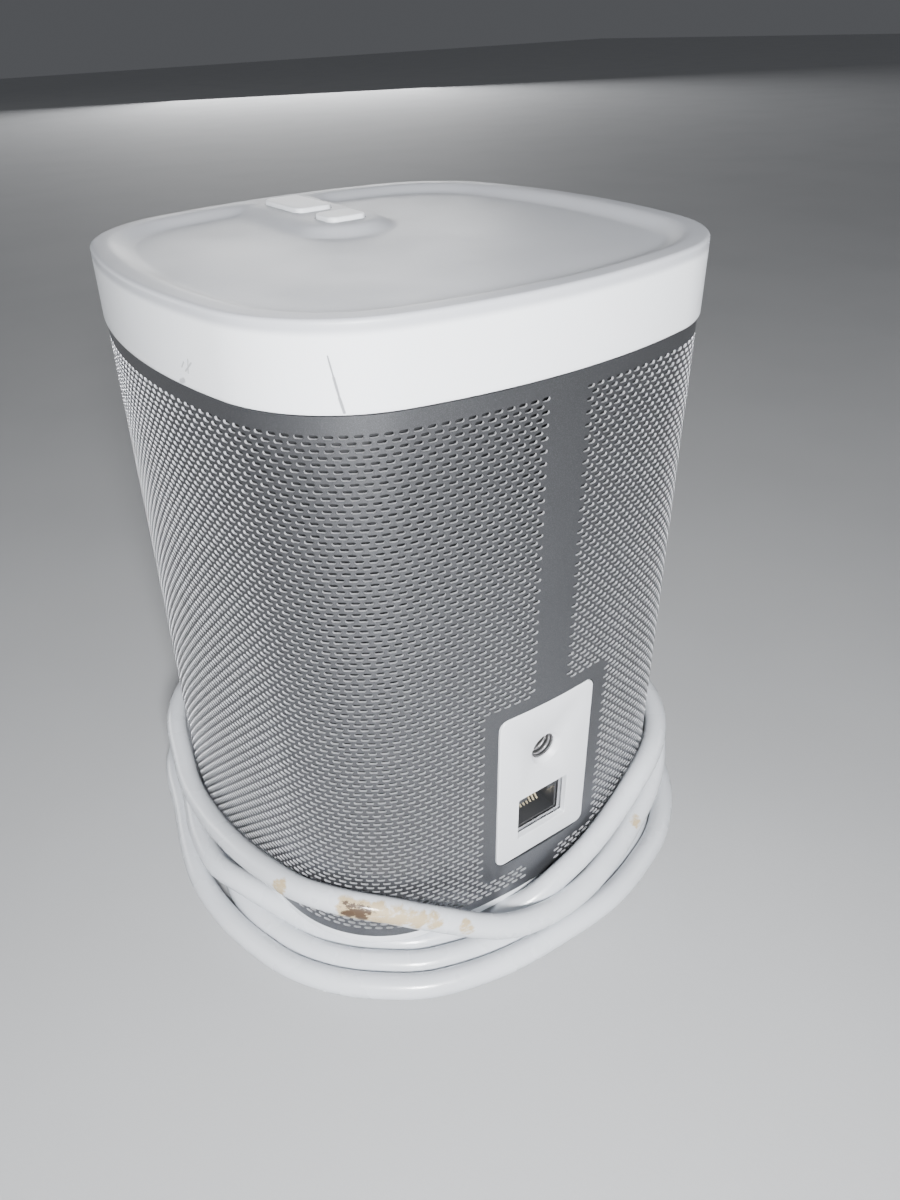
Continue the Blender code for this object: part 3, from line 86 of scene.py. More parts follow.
# Wall angle in degrees (0 front, 90 right, 180 back, 270 left), then how far the lead's
# middle lies outside the grille and its height, both in millimetres.
WINDING = [
    (200, -4.5, 2.9),
    (227, -4.3, 2.9),
    (260, -3.9, 2.9),
    (300, -2.5, 2.9),
    (350, -0.8, 2.9),
    (400, -0.2, 2.9),
    (432, 0.2, 2.9),
    (446, 0.6, 2.9),
    (454, 2.2, 2.9),
    (462, 4.2, 2.9),
    (470, 4.5, 2.9),
    (481, 3.0, 2.9),
    (491, 1.6, 2.9),
    (501, 1.4, 2.9),
    (510, 3.2, 2.9),
    (523, 4.9, 2.9),
    (530, 5.5, 2.9),
    (538, 5.4, 2.9),
    (552, 5.2, 2.9),
    (569, 3.4, 2.9),
    (579, 1.9, 2.9),
    (587, 1.7, 2.9),
    (605, 2.3, 2.9),
    (620, 3.2, 2.9),
    (635, 4.4, 2.9),
    (650, 5.6, 2.9),
    (665, 6.6, 2.9),
    (690, 7.3, 2.9),
    (720, 7.4, 2.9),
    (750, 7.1, 2.9),
    (770, 6.8, 2.9),
    (792, 6.8, 2.9),
    (802, 8.6, 2.9),
    (814, 10.6, 2.9),
    (828, 10.6, 2.9),
    (841, 8.9, 2.9),
    (851, 7.5, 2.9),
    (861, 7.4, 2.9),
    (870, 9.2, 2.9),
    (883, 10.7, 2.9),
    (898, 10.9, 2.9),
    (912, 11.3, 2.9),
    (929, 9.4, 2.9),
    (939, 8.0, 2.9),
    (947, 7.8, 2.9),
    (960, 8.3, 3.1),
    (975, 8.5, 4.4),
    (990, 7.4, 7.4),
    (1005, 5.6, 8.7),
    (1020, 4.6, 8.2),
    (1050, 3.8, 7.5),
    (1085, 3.6, 7.4),
    (1120, 3.6, 7.7),
    (1152, 3.6, 8.0),
    (1166, 6.0, 8.0),
    (1176, 6.4, 8.3),
    (1185, 3.8, 8.6),
    (1195, -0.4, 6.0),
    (1202, -2.6, 4.0),
    (1211, -4.3, 2.9),
    (1221, -4.5, 2.9),
    (1230, -2.9, 2.9),
    (1240, -1.5, 3.2),
    (1246, -0.2, 4.4),
    (1250, 1.5, 6.4),
    (1255, 3.2, 8.9),
    (1262, 3.6, 11.8),
    (1273, 3.5, 15.5),
    (1283, 3.4, 21.0),
    (1292, 3.3, 26.5),
    (1305, 3.3, 29.2),
    (1320, 3.4, 29.4),
    (1340, 3.4, 28.6),
    (1370, 3.4, 26.5),
    (1400, 3.4, 24.8),
    (1430, 3.4, 23.6),
    (1460, 3.4, 22.8),
    (1480, 3.4, 22.2),
    (1497, 3.4, 21.5),
    (1506, 3.6, 20.0),
    (1517, 4.3, 18.6),
    (1530, 4.0, 19.0),
    (1547, 3.6, 22.0),
    (1562, 3.3, 25.5),
    (1574, 3.5, 27.0),
    (1583, 3.7, 25.0),
    (1592, 5.4, 20.2),
    (1600, 7.4, 15.4),
    (1606, 8.6, 12.4),
    (1615, 9.0, 9.9),
    (1627, 8.2, 9.2),
    (1639, 6.5, 11.2),
    (1651, 4.7, 14.8),
    (1659, 4.2, 18.0),
    (1666, 4.0, 21.4),
    (1673, 3.9, 23.0),
    (1690, 4.4, 19.8),
    (1702, 6.4, 17.2),
    (1714, 9.6, 13.6),
    (1724, 13.6, 9.4),
    (1732, 17.2, 6.2),
]
# Under the cabinet, and from the winding to the plug, in millimetres.
LEAD_UNDER = [
    (0.0, 24.6, 4.2),
    (-0.1, 28.0, 4.2),
    (-0.9, 32.0, 4.1),
    (-3.0, 36.5, 3.8),
    (-7.4, 42.5, 3.4),
]
LEAD_TAIL = [
    (-79.6, -32.5, 4.0),
    (-81.2, -40.0, 3.1),
    (-82.0, -47.0, 3.2),
    (-82.0, -53.0, 3.9),
    (-82.0, -58.3, 4.1),
]
# The lead's brown stains: a point in millimetres, its reach and how dark it is.
STAINS = (
    ((60.5, 36.5, 26.4), 3.4, 0.55),
    ((51.0, 52.0, 28.0), 4.0, 1.0),
    ((48.6, 54.3, 27.5), 4.0, 1.0),
    ((45.6, 56.6, 26.9), 4.4, 0.75),
    ((42.2, 58.9, 25.9), 4.6, 0.62),
    ((38.6, 60.9, 24.4), 4.4, 0.6),
    ((35.0, 62.6, 22.6), 3.6, 0.5),
    ((27.9, 65.7, 18.7), 3.0, 0.62),
    ((-29.6, 63.5, 15.0), 2.8, 0.62),
)



# ---------------------------------------------------------------- camera, light, floor
def place_camera():
    camera = bpy.data.cameras.new("view")
    camera.lens = 26.766
    camera.sensor_width = 36.0
    camera.shift_x = 0.050889
    camera.shift_y = -0.053619
    camera.clip_start = 0.01
    holder = bpy.data.objects.new("view", camera)
    bpy.context.scene.collection.objects.link(holder)
    right = Vector((-0.837727, 0.544516, -0.041426))
    up = Vector((-0.302475, -0.399515, 0.865388))
    back = Vector((0.454667, 0.737489, 0.499387))
    turn = Matrix((right, up, back)).transposed().to_4x4()
    holder.matrix_world = Matrix.Translation((0.108820, 0.171135, 0.200040)) @ turn
    bpy.context.scene.camera = holder


def add_light(name, place, aim, size, power, colour=(1.0, 1.0, 1.0)):
    light = bpy.data.lights.new(name, "AREA")
    light.shape = "DISK"
    light.size = size
    light.energy = power
    light.color = colour
    holder = bpy.data.objects.new(name, light)
    bpy.context.scene.collection.objects.link(holder)
    holder.location = place
    holder.rotation_euler = (Vector(aim) - Vector(place)).to_track_quat("-Z", "Y").to_euler()


def light_studio():
    world = bpy.data.worlds.new("studio")
    bpy.context.scene.world = world
    world.use_nodes = True
    background = world.node_tree.nodes["Background"]
    background.inputs["Color"].default_value = (0.90, 0.93, 1.0, 1.0)
    background.inputs["Strength"].default_value = 0.10
    middle = (0.0, 0.0, 0.08)
    add_sun("room_light", (-0.35, -0.75, -0.32), 0.45)
    add_light("near_view_light", (0.15, 0.29, 0.235), middle, 0.075, 3.8)
    add_light("left_soft_light", (0.75, -0.1, 0.45), middle, 0.5, 0.7)
    add_light("far_left_fill", (1.7, -2.6, 0.55), middle, 1.4, 26.0)
    add_light("far_right_fill", (-1.4, -2.7, 0.55), middle, 1.4, 30.0)
    add_light("right_soft_light", (-0.70, 0.35, 0.35), middle, 0.4, 0.8)


def add_sun(name, toward, strength):
    light = bpy.data.lights.new(name, "SUN")
    light.energy = strength
    light.angle = math.radians(25)
    holder = bpy.data.objects.new(name, light)
    bpy.context.scene.collection.objects.link(holder)
    holder.rotation_euler = Vector(toward).to_track_quat("-Z", "Y").to_euler()


def lay_floor():
    mesh = bpy.data.meshes.new("floor")
    reach = 6.0
    corners = [(-reach, -reach, 0), (reach, -reach, 0), (reach, reach, 0), (-reach, reach, 0)]
    mesh.from_pydata(corners, [], [(0, 1, 2, 3)])
    floor = bpy.data.objects.new("floor", mesh)
    bpy.context.scene.collection.objects.link(floor)
    mesh.materials.append(plain_floor())


# ---------------------------------------------------------------- material helpers
class Number:
    """A number in a material. Python arithmetic on it adds Math nodes."""

    def __init__(self, look, socket):
        self.look = look
        self.socket = socket

    def maths(self, operation, *others, flip=False, **settings):
        values = [self, *others]
        if flip:
            values.reverse()
        sockets = dict(enumerate(values))
        return self.look.node("Math", {"operation": operation, **settings}, sockets)

    def __add__(self, other):
        return self.maths("ADD", other)

    def __sub__(self, other):
        return self.maths("SUBTRACT", other)

    def __mul__(self, other):
        return self.maths("MULTIPLY", other)

    def __rsub__(self, other):
        return self.maths("SUBTRACT", other, flip=True)

    __radd__ = __add__
    __rmul__ = __mul__

    def least(self, other):
        return self.maths("MINIMUM", other)

    def most(self, other):
        return self.maths("MAXIMUM", other)

    def rise(self, low, high):
        """0 below low, 1 above high and a smooth step between."""
        settings = {"interpolation_type": "SMOOTHSTEP"}
        sockets = {"Value": self, "From Min": low, "From Max": high}
        return self.look.node("MapRange", settings, sockets, "Result")

    def fall(self, low, high):
        return 1 - self.rise(low, high)


class Look:
    """One finish: a Principled shader and the nodes that vary it."""

    def __init__(self, name, colour, roughness, metallic=0.0, constants=()):
        self.material = bpy.data.materials.new(name)
        self.material.use_nodes = True
        self.tree = self.material.node_tree
        self.shader = self.tree.nodes["Principled BSDF"]
        self.colour = (*colour, 1.0)
        self.shader.inputs["Base Color"].default_value = self.colour
        self.shader.inputs["Roughness"].default_value = roughness
        self.shader.inputs["Metallic"].default_value = metallic
        for socket, value in dict(constants).items():
            self.shader.inputs[socket].default_value = value
        self.place = self.node("TexCoord", output="Object")

    def node(self, kind, settings=(), sockets=(), output=0):
        """Adds a node: its settings first, then the values or links of its sockets."""
        made = self.tree.nodes.new("ShaderNode" + kind)
        for name, value in dict(settings).items():
            setattr(made, name, value)
        for name, value in dict(sockets).items():
            if isinstance(value, Number):
                self.tree.links.new(value.socket, made.inputs[name])
            else:
                made.inputs[name].default_value = value
        return Number(self, made.outputs[output])

    def noise(self, scale, detail=3.0, roughness=0.5, stretch=None):
        where = self.place
        if stretch is not None:
            where = self.node("Mapping", (), {"Vector": where, "Scale": stretch})
        sockets = {"Vector": where, "Scale": scale, "Detail": detail, "Roughness": roughness}
        return self.node("TexNoise", (), sockets)

    def cells(self, scale, output="Distance"):
        return self.node("TexVoronoi", (), {"Vector": self.place, "Scale": scale}, output)

    def axes(self):
        split = self.tree.nodes.new("ShaderNodeSeparateXYZ")
        self.tree.links.new(self.place.socket, split.inputs[0])
        return [Number(self, socket) for socket in split.outputs]

    def paint(self, colour, share):
        """Lays a second colour over the first where share is 1."""
        under = self.colour
        mixer = self.tree.nodes.new("ShaderNodeMix")
        mixer.data_type = "RGBA"
        for index, value in ((0, share), (6, under), (7, (*colour, 1.0))):
            if isinstance(value, Number):
                self.tree.links.new(value.socket, mixer.inputs[index])
            else:
                mixer.inputs[index].default_value = value
        self.colour = Number(self, mixer.outputs[2])
        return self

    def feed(self, socket, value):
        self.tree.links.new(value.socket, self.shader.inputs[socket])
        return self

    def relief(self, height, depth, strength=1.0):
        sockets = {"Height": height, "Distance": depth, "Strength": strength}
        return self.feed("Normal", self.node("Bump", (), sockets))

    def done(self):
        if isinstance(self.colour, Number):
            self.feed("Base Color", self.colour)
        return self.material


FINISHES = {}


def finish(maker):
    """Makes a finish once and hands out the same material after that."""
    name = maker.__name__
    if name not in FINISHES:
        FINISHES[name] = maker(name)
    return FINISHES[name]


# ---------------------------------------------------------------- finishes
def plain_floor():
    look = Look("plain_floor", (0.40, 0.408, 0.42), 0.8)
    patches = look.noise(9.0, 4.0)
    look.paint((0.36, 0.367, 0.38), patches.rise(0.35, 0.75) * 0.5)
    look.relief(look.noise(900.0, 2.0), 0.0002, 0.15)
    return look.done()


def near_point(look, point, radius):
    """1 at a point of the piece, falling to 0 at the radius."""
    away = look.node("VectorMath", {"operation": "DISTANCE"}, {0: look.place, 1: point}, "Value")
    return away.fall(0.35 * radius, radius)


def near_line(look, start, end, width, wander=0.0):
    """1 along a line between two points of the piece, 0 beyond its width."""
    start, end = Vector(start), Vector(end)
    along = end - start
    offset = look.node("VectorMath", {"operation": "SUBTRACT"}, {0: look.place, 1: start})
    scale = tuple(along / along.length_squared)
    share = look.node("VectorMath", {"operation": "DOT_PRODUCT"}, {0: offset, 1: scale}, "Value")
    share = share.most(0.0).least(1.0)
    foot = look.node("VectorMath", {"operation": "SCALE"}, {0: tuple(along), "Scale": share})
    away = look.node("VectorMath", {"operation": "DISTANCE"}, {0: offset, 1: foot}, "Value")
    if wander:
        away = away + (look.noise(700.0, 2.0) - 0.5) * wander
    return away.fall(0.4 * width, width)


def white_shell(name):
    """Satin white moulding with a fine spark texture and light dust."""
    look = Look(name, (0.76, 0.785, 0.82), 0.40, constants={"IOR": 1.48})
    mottle = look.noise(38.0, 4.0, 0.6)
    look.paint((0.735, 0.745, 0.765), mottle.rise(0.42, 0.72) * 0.35)
    dust = look.cells(420.0)
    specks = dust.fall(0.045, 0.085) * look.noise(60.0).rise(0.54, 0.62)
    look.paint((0.45, 0.43, 0.40), specks * 0.35)
    gloss = 0.37 + look.noise(55.0, 3.0) * 0.10 + specks * 0.2
    look.feed("Roughness", gloss)
    grain = look.noise(5200.0, 2.0, 0.6) * 0.5 + look.noise(1800.0, 2.0) * 0.5
    look.relief(grain, 0.00003, 0.55)
    return look.done()


def cap_white(name):
    """The top cap's white: the same moulding with its wear, and its top painted darker: painted
    shade with some dust.
    """
    look = Look(name, (0.76, 0.785, 0.82), 0.40, constants={"IOR": 1.48})
    z = look.axes()[2]
    mottle = look.noise(38.0, 4.0, 0.6)
    look.paint((0.735, 0.745, 0.765), mottle.rise(0.42, 0.72) * 0.35)
    lying = z.rise(RIM_Z - 3.0 * MM, RIM_Z - 1.5 * MM)
    dust = look.cells(420.0)
    specks = dust.fall(0.045, 0.085) * look.noise(60.0).rise(0.52, 0.62) * lying
    film = look.noise(22.0, 5.0, 0.65).rise(0.45, 0.7) * lying
    # The top surface painted darker blue-grey: mostly painted shade for the grazing light, partly
    # a dust film.
    look.paint((0.40, 0.415, 0.455), lying * 0.85)
    look.paint((0.50, 0.51, 0.54), film * 0.3)
    look.paint((0.38, 0.36, 0.33), specks * 0.4)
    crack = crack_line(look)
    scuffs = scuff_marks(look)
    look.paint((0.30, 0.31, 0.33), scuffs * 0.7)
    look.paint((0.11, 0.115, 0.13), crack * 0.8)
    look.feed("Roughness", 0.37 + look.noise(55.0, 3.0) * 0.10 + film * 0.1 + crack * 0.3)
    grain = look.noise(5200.0, 2.0, 0.6) * 0.5 + look.noise(1800.0, 2.0) * 0.5
    look.relief(grain - crack * 6.0 - scuffs * 1.2, 0.00003, 0.55)
    return look.done()


def crack_line(look):
    """The hairline crack down the cap's skirt, at the rear right corner."""
    points = []
    for along, height in ((-45.6, 154.6), (-44.9, 151.0), (-44.2, 147.5), (-43.6, 145.0)):
        points.append(outline_point(along * MM, GRILLE_INSET, height * MM))
    fine = []
    for start, end, width in zip(points, points[1:], (0.20, 0.30, 0.36)):
        fine.append(near_line(look, start, end, width * MM, 0.0001))
    return fine[0].most(fine[1]).most(fine[2])


def scuff_marks(look):
    """Small scratches and a chip just above the skirt's lower edge."""
    marks = []
    for a0, z0, a1, z1, width in (
        (-75.0, 149.6, -77.4, 147.6, 0.26),
        (-76.0, 150.0, -76.6, 147.4, 0.22),
        (-77.6, 149.2, -78.6, 148.0, 0.24),
        (-78.6, 145.6, -79.9, 145.0, 0.7),
    ):
        start = outline_point(a0 * MM, GRILLE_INSET, z0 * MM)
        end = outline_point(a1 * MM, GRILLE_INSET, z1 * MM)
        marks.append(near_line(look, start, end, width * MM, 0.00015))
    total = marks[0]
    for mark in marks[1:]:
        total = total.most(mark)
    return total


def grille_grey(name):
    """Fine metallic paint on the grille's outer face."""
    look = Look(name, (0.12, 0.123, 0.131), 0.36, 0.85)
    flakes = look.noise(6500.0, 2.0, 0.7)
    look.paint((0.20, 0.205, 0.22), flakes.rise(0.45, 0.7) * 0.7)
    look.paint((0.10, 0.103, 0.11), look.noise(30.0, 3.0).rise(0.5, 0.8) * 0.25)
    look.feed("Roughness", 0.31 + flakes * 0.12)
    look.relief(flakes, 0.00003, 0.6)
    return look.done()


def slot_wall_highlight(name):
    """The walls of the punched slots, painted bright: a painted highlight on the grille's own
    paint.
    """
    # Painted highlight: the walls share the face's paint, coloured bright for the light they
    # catch.
    look = Look(name, (0.70, 0.71, 0.74), 0.30, 0.6)
    streaks = look.noise(1500.0, 2.0, stretch=(1.0, 1.0, 0.2))
    look.paint((0.62, 0.63, 0.66), streaks.rise(0.4, 0.75) * 0.5)
    look.feed("Roughness", 0.30 + streaks * 0.15)
    return look.done()


def cord_white(name):
    """Glossy white lead sheath with scuffs and brown stains."""
    gloss = {"Coat Weight": 0.35, "Coat Roughness": 0.12}
    look = Look(name, (0.58, 0.605, 0.645), 0.20, constants=gloss)
    look.paint((0.48, 0.50, 0.54), look.noise(45.0, 4.0).rise(0.45, 0.75) * 0.4)
    blots = look.noise(330.0, 6.0, 0.75, stretch=(0.7, 0.7, 1.8))
    stain = None
    for point, radius, strength in STAINS:
        spot = near_point(look, tuple(value * MM for value in point), radius * MM) * strength
        stain = spot if stain is None else stain.most(spot)
    faint = (stain + (blots - 0.5) * 2.2).rise(0.22, 0.62) * stain.rise(0.02, 0.3)
    dark = (stain + (blots - 0.5) * 3.2).rise(0.78, 0.95) * stain.rise(0.62, 0.85)
    look.paint((0.40, 0.27, 0.07), faint * 0.75)
    look.paint((0.045, 0.020, 0.006), dark * 0.97)
    grime = look.noise(130.0, 4.0, 0.6).rise(0.60, 0.74)
    look.paint((0.55, 0.54, 0.52), grime * 0.16)
    look.feed("Roughness", 0.22 + look.noise(90.0, 3.0) * 0.12 + faint * 0.3)
    look.relief(look.noise(260.0, 3.0) + faint * 0.4, 0.00006, 0.35)
    return look.done()


def plug_white(name):
    look = Look(name, (0.68, 0.70, 0.73), 0.34, constants={"Coat Weight": 0.15})
    look.paint((0.60, 0.62, 0.65), look.noise(70.0, 4.0).rise(0.45, 0.75) * 0.4)
    look.feed("Roughness", 0.30 + look.noise(120.0, 3.0) * 0.14)
    look.relief(look.noise(1500.0, 2.0), 0.00004, 0.4)
    return look.done()


def black_moulding(name):
    look = Look(name, (0.020, 0.021, 0.023), 0.5)
    look.paint((0.040, 0.041, 0.044), look.noise(80.0, 4.0).rise(0.4, 0.7) * 0.6)
    look.feed("Roughness", 0.44 + look.noise(140.0, 3.0) * 0.2)
    look.relief(look.noise(2600.0, 2.0), 0.00004, 0.5)
    return look.done()


def brushed(look, low, spread, across):
    """Fine parallel brush lines that vary the gloss."""
    lines = look.noise(900.0, 3.0, 0.6, stretch=across)
    look.feed("Roughness", low + lines * spread)
    return look.relief(lines, 0.00002, 0.4)


def plated_steel(name):
    look = Look(name, (0.60, 0.60, 0.61), 0.28, 1.0)
    look.paint((0.46, 0.46, 0.47), look.noise(160.0, 4.0).rise(0.45, 0.8) * 0.6)
    return brushed(look, 0.18, 0.25, (1.0, 0.08, 1.0)).done()


def contact_gold(name):
    look = Look(name, (0.86, 0.75, 0.52), 0.25, 0.7)
    look.paint((0.66, 0.54, 0.32), look.noise(900.0, 3.0).rise(0.45, 0.8) * 0.6)
    look.feed("Roughness", 0.18 + look.noise(600.0, 2.0) * 0.15)
    return look.done()


def threaded_steel(name):
    """Bright insert metal with the fine rings of a thread."""
    look = Look(name, (0.52, 0.52, 0.53), 0.26, 0.85)
    y = look.axes()[1]
    rings = (y * (2 * math.pi / (1.27 * MM))).maths("SINE") * 0.5 + 0.5
    # Painted shade: the thread's grooves coloured darker where the bump sinks.
    look.paint((0.16, 0.16, 0.17), rings.fall(0.1, 0.5) * 0.8)
    look.feed("Roughness", 0.24 + look.noise(500.0, 2.0) * 0.15)
    look.relief(rings, 0.0003, 0.8)
    return look.done()


def board_green(name):
    """Solder mask with faint copper tracks under it."""
    look = Look(name, (0.018, 0.105, 0.045), 0.35, constants={"Coat Weight": 0.3})
    tracks = look.cells(190.0).rise(0.30, 0.34) * look.cells(190.0).fall(0.40, 0.44)
    look.paint((0.035, 0.19, 0.085), tracks * 0.7)
    pads = look.cells(340.0).fall(0.10, 0.13) * look.noise(90.0).rise(0.5, 0.56)
    look.paint((0.62, 0.60, 0.52), pads)
    look.feed("Metallic", pads * 0.9)
    look.feed("Roughness", 0.30 + look.noise(300.0, 2.0) * 0.15)
    look.relief(tracks + pads * 2.0, 0.00003, 0.6)
    return look.done()


def bare_aluminium(name):
    look = Look(name, (0.66, 0.67, 0.69), 0.32, 1.0)
    look.paint((0.52, 0.53, 0.55), look.noise(120.0, 3.0).rise(0.4, 0.8) * 0.5)
    return brushed(look, 0.24, 0.22, (0.06, 1.0, 1.0)).done()


def dark_ferrite(name):
    look = Look(name, (0.045, 0.045, 0.050), 0.6, 0.2)
    look.paint((0.085, 0.082, 0.080), look.noise(420.0, 4.0, 0.7).rise(0.5, 0.75) * 0.7)
    look.feed("Roughness", 0.5 + look.noise(300.0, 3.0) * 0.25)
    look.relief(look.noise(1300.0, 3.0, 0.7), 0.0001, 0.6)
    return look.done()


def woven(look, pitch, depth):
    """Two sets of threads that pass over and under each other."""
    x, _, z = look.axes()
    turn = 2 * math.pi / pitch
    warp = (x * turn).maths("SINE")
    weft = (z * turn).maths("SINE")
    cloth = warp * weft * 0.5 + 0.5
    look.relief(cloth + look.noise(2500.0, 2.0) * 0.4, depth, 0.8)
    return cloth


def cone_fibre(name):
    look = Look(name, (0.045, 0.045, 0.050), 0.65)
    cloth = woven(look, 1.2 * MM, 0.0001)
    # Painted light and shade: the raised parts of the weave coloured lighter than its hollows.
    look.paint((0.095, 0.095, 0.105), cloth.rise(0.4, 0.9) * 0.8)
    look.feed("Roughness", 0.5 + cloth * 0.2)
    return look.done()


def spider_cloth(name):
    look = Look(name, (0.48, 0.34, 0.15), 0.85)
    cloth = woven(look, 0.7 * MM, 0.0001)
    # Painted light and shade: the raised parts of the weave coloured lighter than its hollows.
    look.paint((0.66, 0.50, 0.26), cloth.rise(0.3, 0.9) * 0.8)
    look.feed("Roughness", 0.75 + cloth * 0.15)
    return look.done()


def soft_rubber(name):
    look = Look(name, (0.035, 0.035, 0.037), 0.75)
    look.paint((0.075, 0.073, 0.070), look.noise(70.0, 4.0, 0.6).rise(0.45, 0.75) * 0.7)
    look.feed("Roughness", 0.62 + look.noise(200.0, 3.0) * 0.25)
    look.relief(look.noise(2200.0, 3.0), 0.00006, 0.6)
    return look.done()


def coil_copper(name):
    look = Look(name, (0.62, 0.28, 0.13), 0.3, 1.0)
    y = look.axes()[1]
    turns = (y * (2 * math.pi / (0.35 * MM))).maths("SINE") * 0.5 + 0.5
    # Painted shade: darker copper in the grooves between the turns.
    look.paint((0.36, 0.13, 0.05), turns.fall(0.1, 0.5) * 0.8)
    look.feed("Roughness", 0.22 + look.noise(800.0, 2.0) * 0.2)
    look.relief(turns, 0.0001, 0.8)
    return look.done()


def open_foam(name):
    look = Look(name, (0.075, 0.075, 0.080), 0.95)
    pores = look.cells(750.0)
    # Painted shade: the pits of the pores coloured near black.
    look.paint((0.015, 0.015, 0.016), pores.fall(0.15, 0.45) * 0.9)
    look.feed("Roughness", 0.85 + pores * 0.12)
    look.relief(pores, 0.0004, 0.9)
    return look.done()


def clear_pipe(name):
    look = Look(name, (0.90, 0.92, 0.93), 0.18, constants={"Transmission Weight": 0.6})
    look.paint((0.80, 0.83, 0.84), look.noise(500.0, 2.0).rise(0.4, 0.8) * 0.5)
    look.feed("Roughness", 0.14 + look.noise(700.0, 2.0) * 0.12)
    return look.done()


def flat_cable(name):
    """White ribbon with its conductors showing through."""
    look = Look(name, (0.74, 0.75, 0.76), 0.4)
    x = look.axes()[0]
    lines = (x * (2 * math.pi / (1.0 * MM))).maths("SINE").rise(0.1, 0.6)
    look.paint((0.50, 0.51, 0.53), lines * 0.6)
    look.feed("Roughness", 0.34 + look.noise(300.0, 2.0) * 0.15)
    look.relief(lines, 0.00005, 0.5)
    return look.done()


def satin_plate(name):
    """The rear panel: smoother than the cap, faintly marked round the thread."""
    look = Look(name, (0.70, 0.72, 0.755), 0.34)
    look.paint((0.62, 0.64, 0.67), look.noise(60.0, 4.0).rise(0.45, 0.75) * 0.35)
    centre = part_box("threaded_insert")
    middle = ((centre[0].x + centre[1].x) / 2, PANEL_HIGH.y, (centre[0].z + centre[1].z) / 2)
    rubbed = near_point(look, middle, 9.0 * MM)
    rubbed = rubbed * look.noise(500.0, 4.0, stretch=(1, 1, 4)).rise(0.5, 0.7)
    look.paint((0.62, 0.62, 0.63), rubbed * 0.35)
    look.feed("Roughness", 0.30 + look.noise(90.0, 3.0) * 0.1 + rubbed * 0.15)
    look.relief(look.noise(4200.0, 2.0), 0.00002, 0.4)
    return look.done()


# ---------------------------------------------------------------- shape helpers
def plan(inset, side_steps=SIDE_STEPS, corner_steps=CORNER_STEPS):
    """The cabinet's outline seen from above, moved inwards, starting at the back."""
    points = []
    for quarter in range(4):
        turn = (quarter + 1) * math.pi / 2
        flat = []
        for k in range(side_steps // 2):
            angle = SIDE_ANGLE * 2 * k / side_steps
            reach = SIDE_RADIUS - inset
            flat.append((reach * math.cos(angle) - SIDE_REACH, reach * math.sin(angle)))
        for k in range(corner_steps):
            angle = SIDE_ANGLE + (math.pi / 2 - 2 * SIDE_ANGLE) * k / corner_steps
            reach = CORNER_RADIUS - inset
            x = CORNER_CENTRE + reach * math.cos(angle)
            flat.append((x, CORNER_CENTRE + reach * math.sin(angle)))
        for k in range(side_steps // 2):
            angle = math.pi / 2 - SIDE_ANGLE + SIDE_ANGLE * 2 * k / side_steps
            reach = SIDE_RADIUS - inset
            flat.append((reach * math.cos(angle), reach * math.sin(angle) - SIDE_REACH))
        for x, y in flat:
            across = x * math.cos(turn) - y * math.sin(turn)
            points.append((across, x * math.sin(turn) + y * math.cos(turn)))
    return points


SIDE_RUN = (SIDE_RADIUS - GRILLE_INSET) * SIDE_ANGLE
CORNER_RUN = (CORNER_RADIUS - GRILLE_INSET) * (math.pi / 2 - 2 * SIDE_ANGLE)
AROUND = 4 * (2 * SIDE_RUN + CORNER_RUN)


def outline_point(along, out, height):
    """A point by the grille: distance round it from the middle of the back, towards
    -X, then how far outside the grille's face, and its height."""
    quarter, rest = divmod(along % AROUND, AROUND / 4)
    if rest <= SIDE_RUN:
        angle = rest / (SIDE_RADIUS - GRILLE_INSET)
        centre, reach = (-SIDE_REACH, 0.0), SIDE_RADIUS
    elif rest <= SIDE_RUN + CORNER_RUN:
        angle = SIDE_ANGLE + (rest - SIDE_RUN) / (CORNER_RADIUS - GRILLE_INSET)
        centre, reach = (CORNER_CENTRE, CORNER_CENTRE), CORNER_RADIUS
    else:
        angle = math.pi / 2 - (AROUND / 4 - rest) / (SIDE_RADIUS - GRILLE_INSET)
        centre, reach = (0.0, -SIDE_REACH), SIDE_RADIUS
    reach += out - GRILLE_INSET
    x = centre[0] + reach * math.cos(angle)
    y = centre[1] + reach * math.sin(angle)
    turn = (quarter + 1) * math.pi / 2
    across = x * math.cos(turn) - y * math.sin(turn)
    return Vector((across, x * math.sin(turn) + y * math.cos(turn), height))


def make_piece(name, points, faces, finishes, sharp=35):
    mesh = bpy.data.meshes.new(name)
    mesh.from_pydata([tuple(point) for point in points], [], faces)
    mesh.shade_smooth()
    mesh.set_sharp_from_angle(angle=math.radians(sharp))
    for maker in finishes:
        mesh.materials.append(finish(maker))
    piece = bpy.data.objects.new(name, mesh)
    bpy.context.scene.collection.objects.link(piece)
    return piece


def skin(rings, closed_end=True):
    """Points and faces through rings of equal length, capped unless they join up."""
    count = len(rings[0])
    points = [point for ring in rings for point in ring]
    faces = []
    rows = len(rings) - 1 if closed_end else len(rings)
    for row in range(rows):
        above = (row + 1) % len(rings)
        for k in range(count):
            step = (k + 1) % count
            low, high = row * count, above * count
            faces.append((low + k, low + step, high + step, high + k))
    if closed_end:
        faces.append(tuple(range(count))[::-1])
        faces.append(tuple((len(rings) - 1) * count + k for k in range(count)))
    return points, faces


def level(outline, z):
    return [(x, y, z) for x, y in outline]


def rounded(centre, half, radius, steps=10):
    points = []
    for quarter, (su, sv) in enumerate(((1, 1), (-1, 1), (-1, -1), (1, -1))):
        cu = centre[0] + su * (half[0] - radius)
        cv = centre[1] + sv * (half[1] - radius)
        for k in range(steps + 1):
            angle = (quarter + k / steps) * math.pi / 2
            points.append((cu + radius * math.cos(angle), cv + radius * math.sin(angle)))
    return points


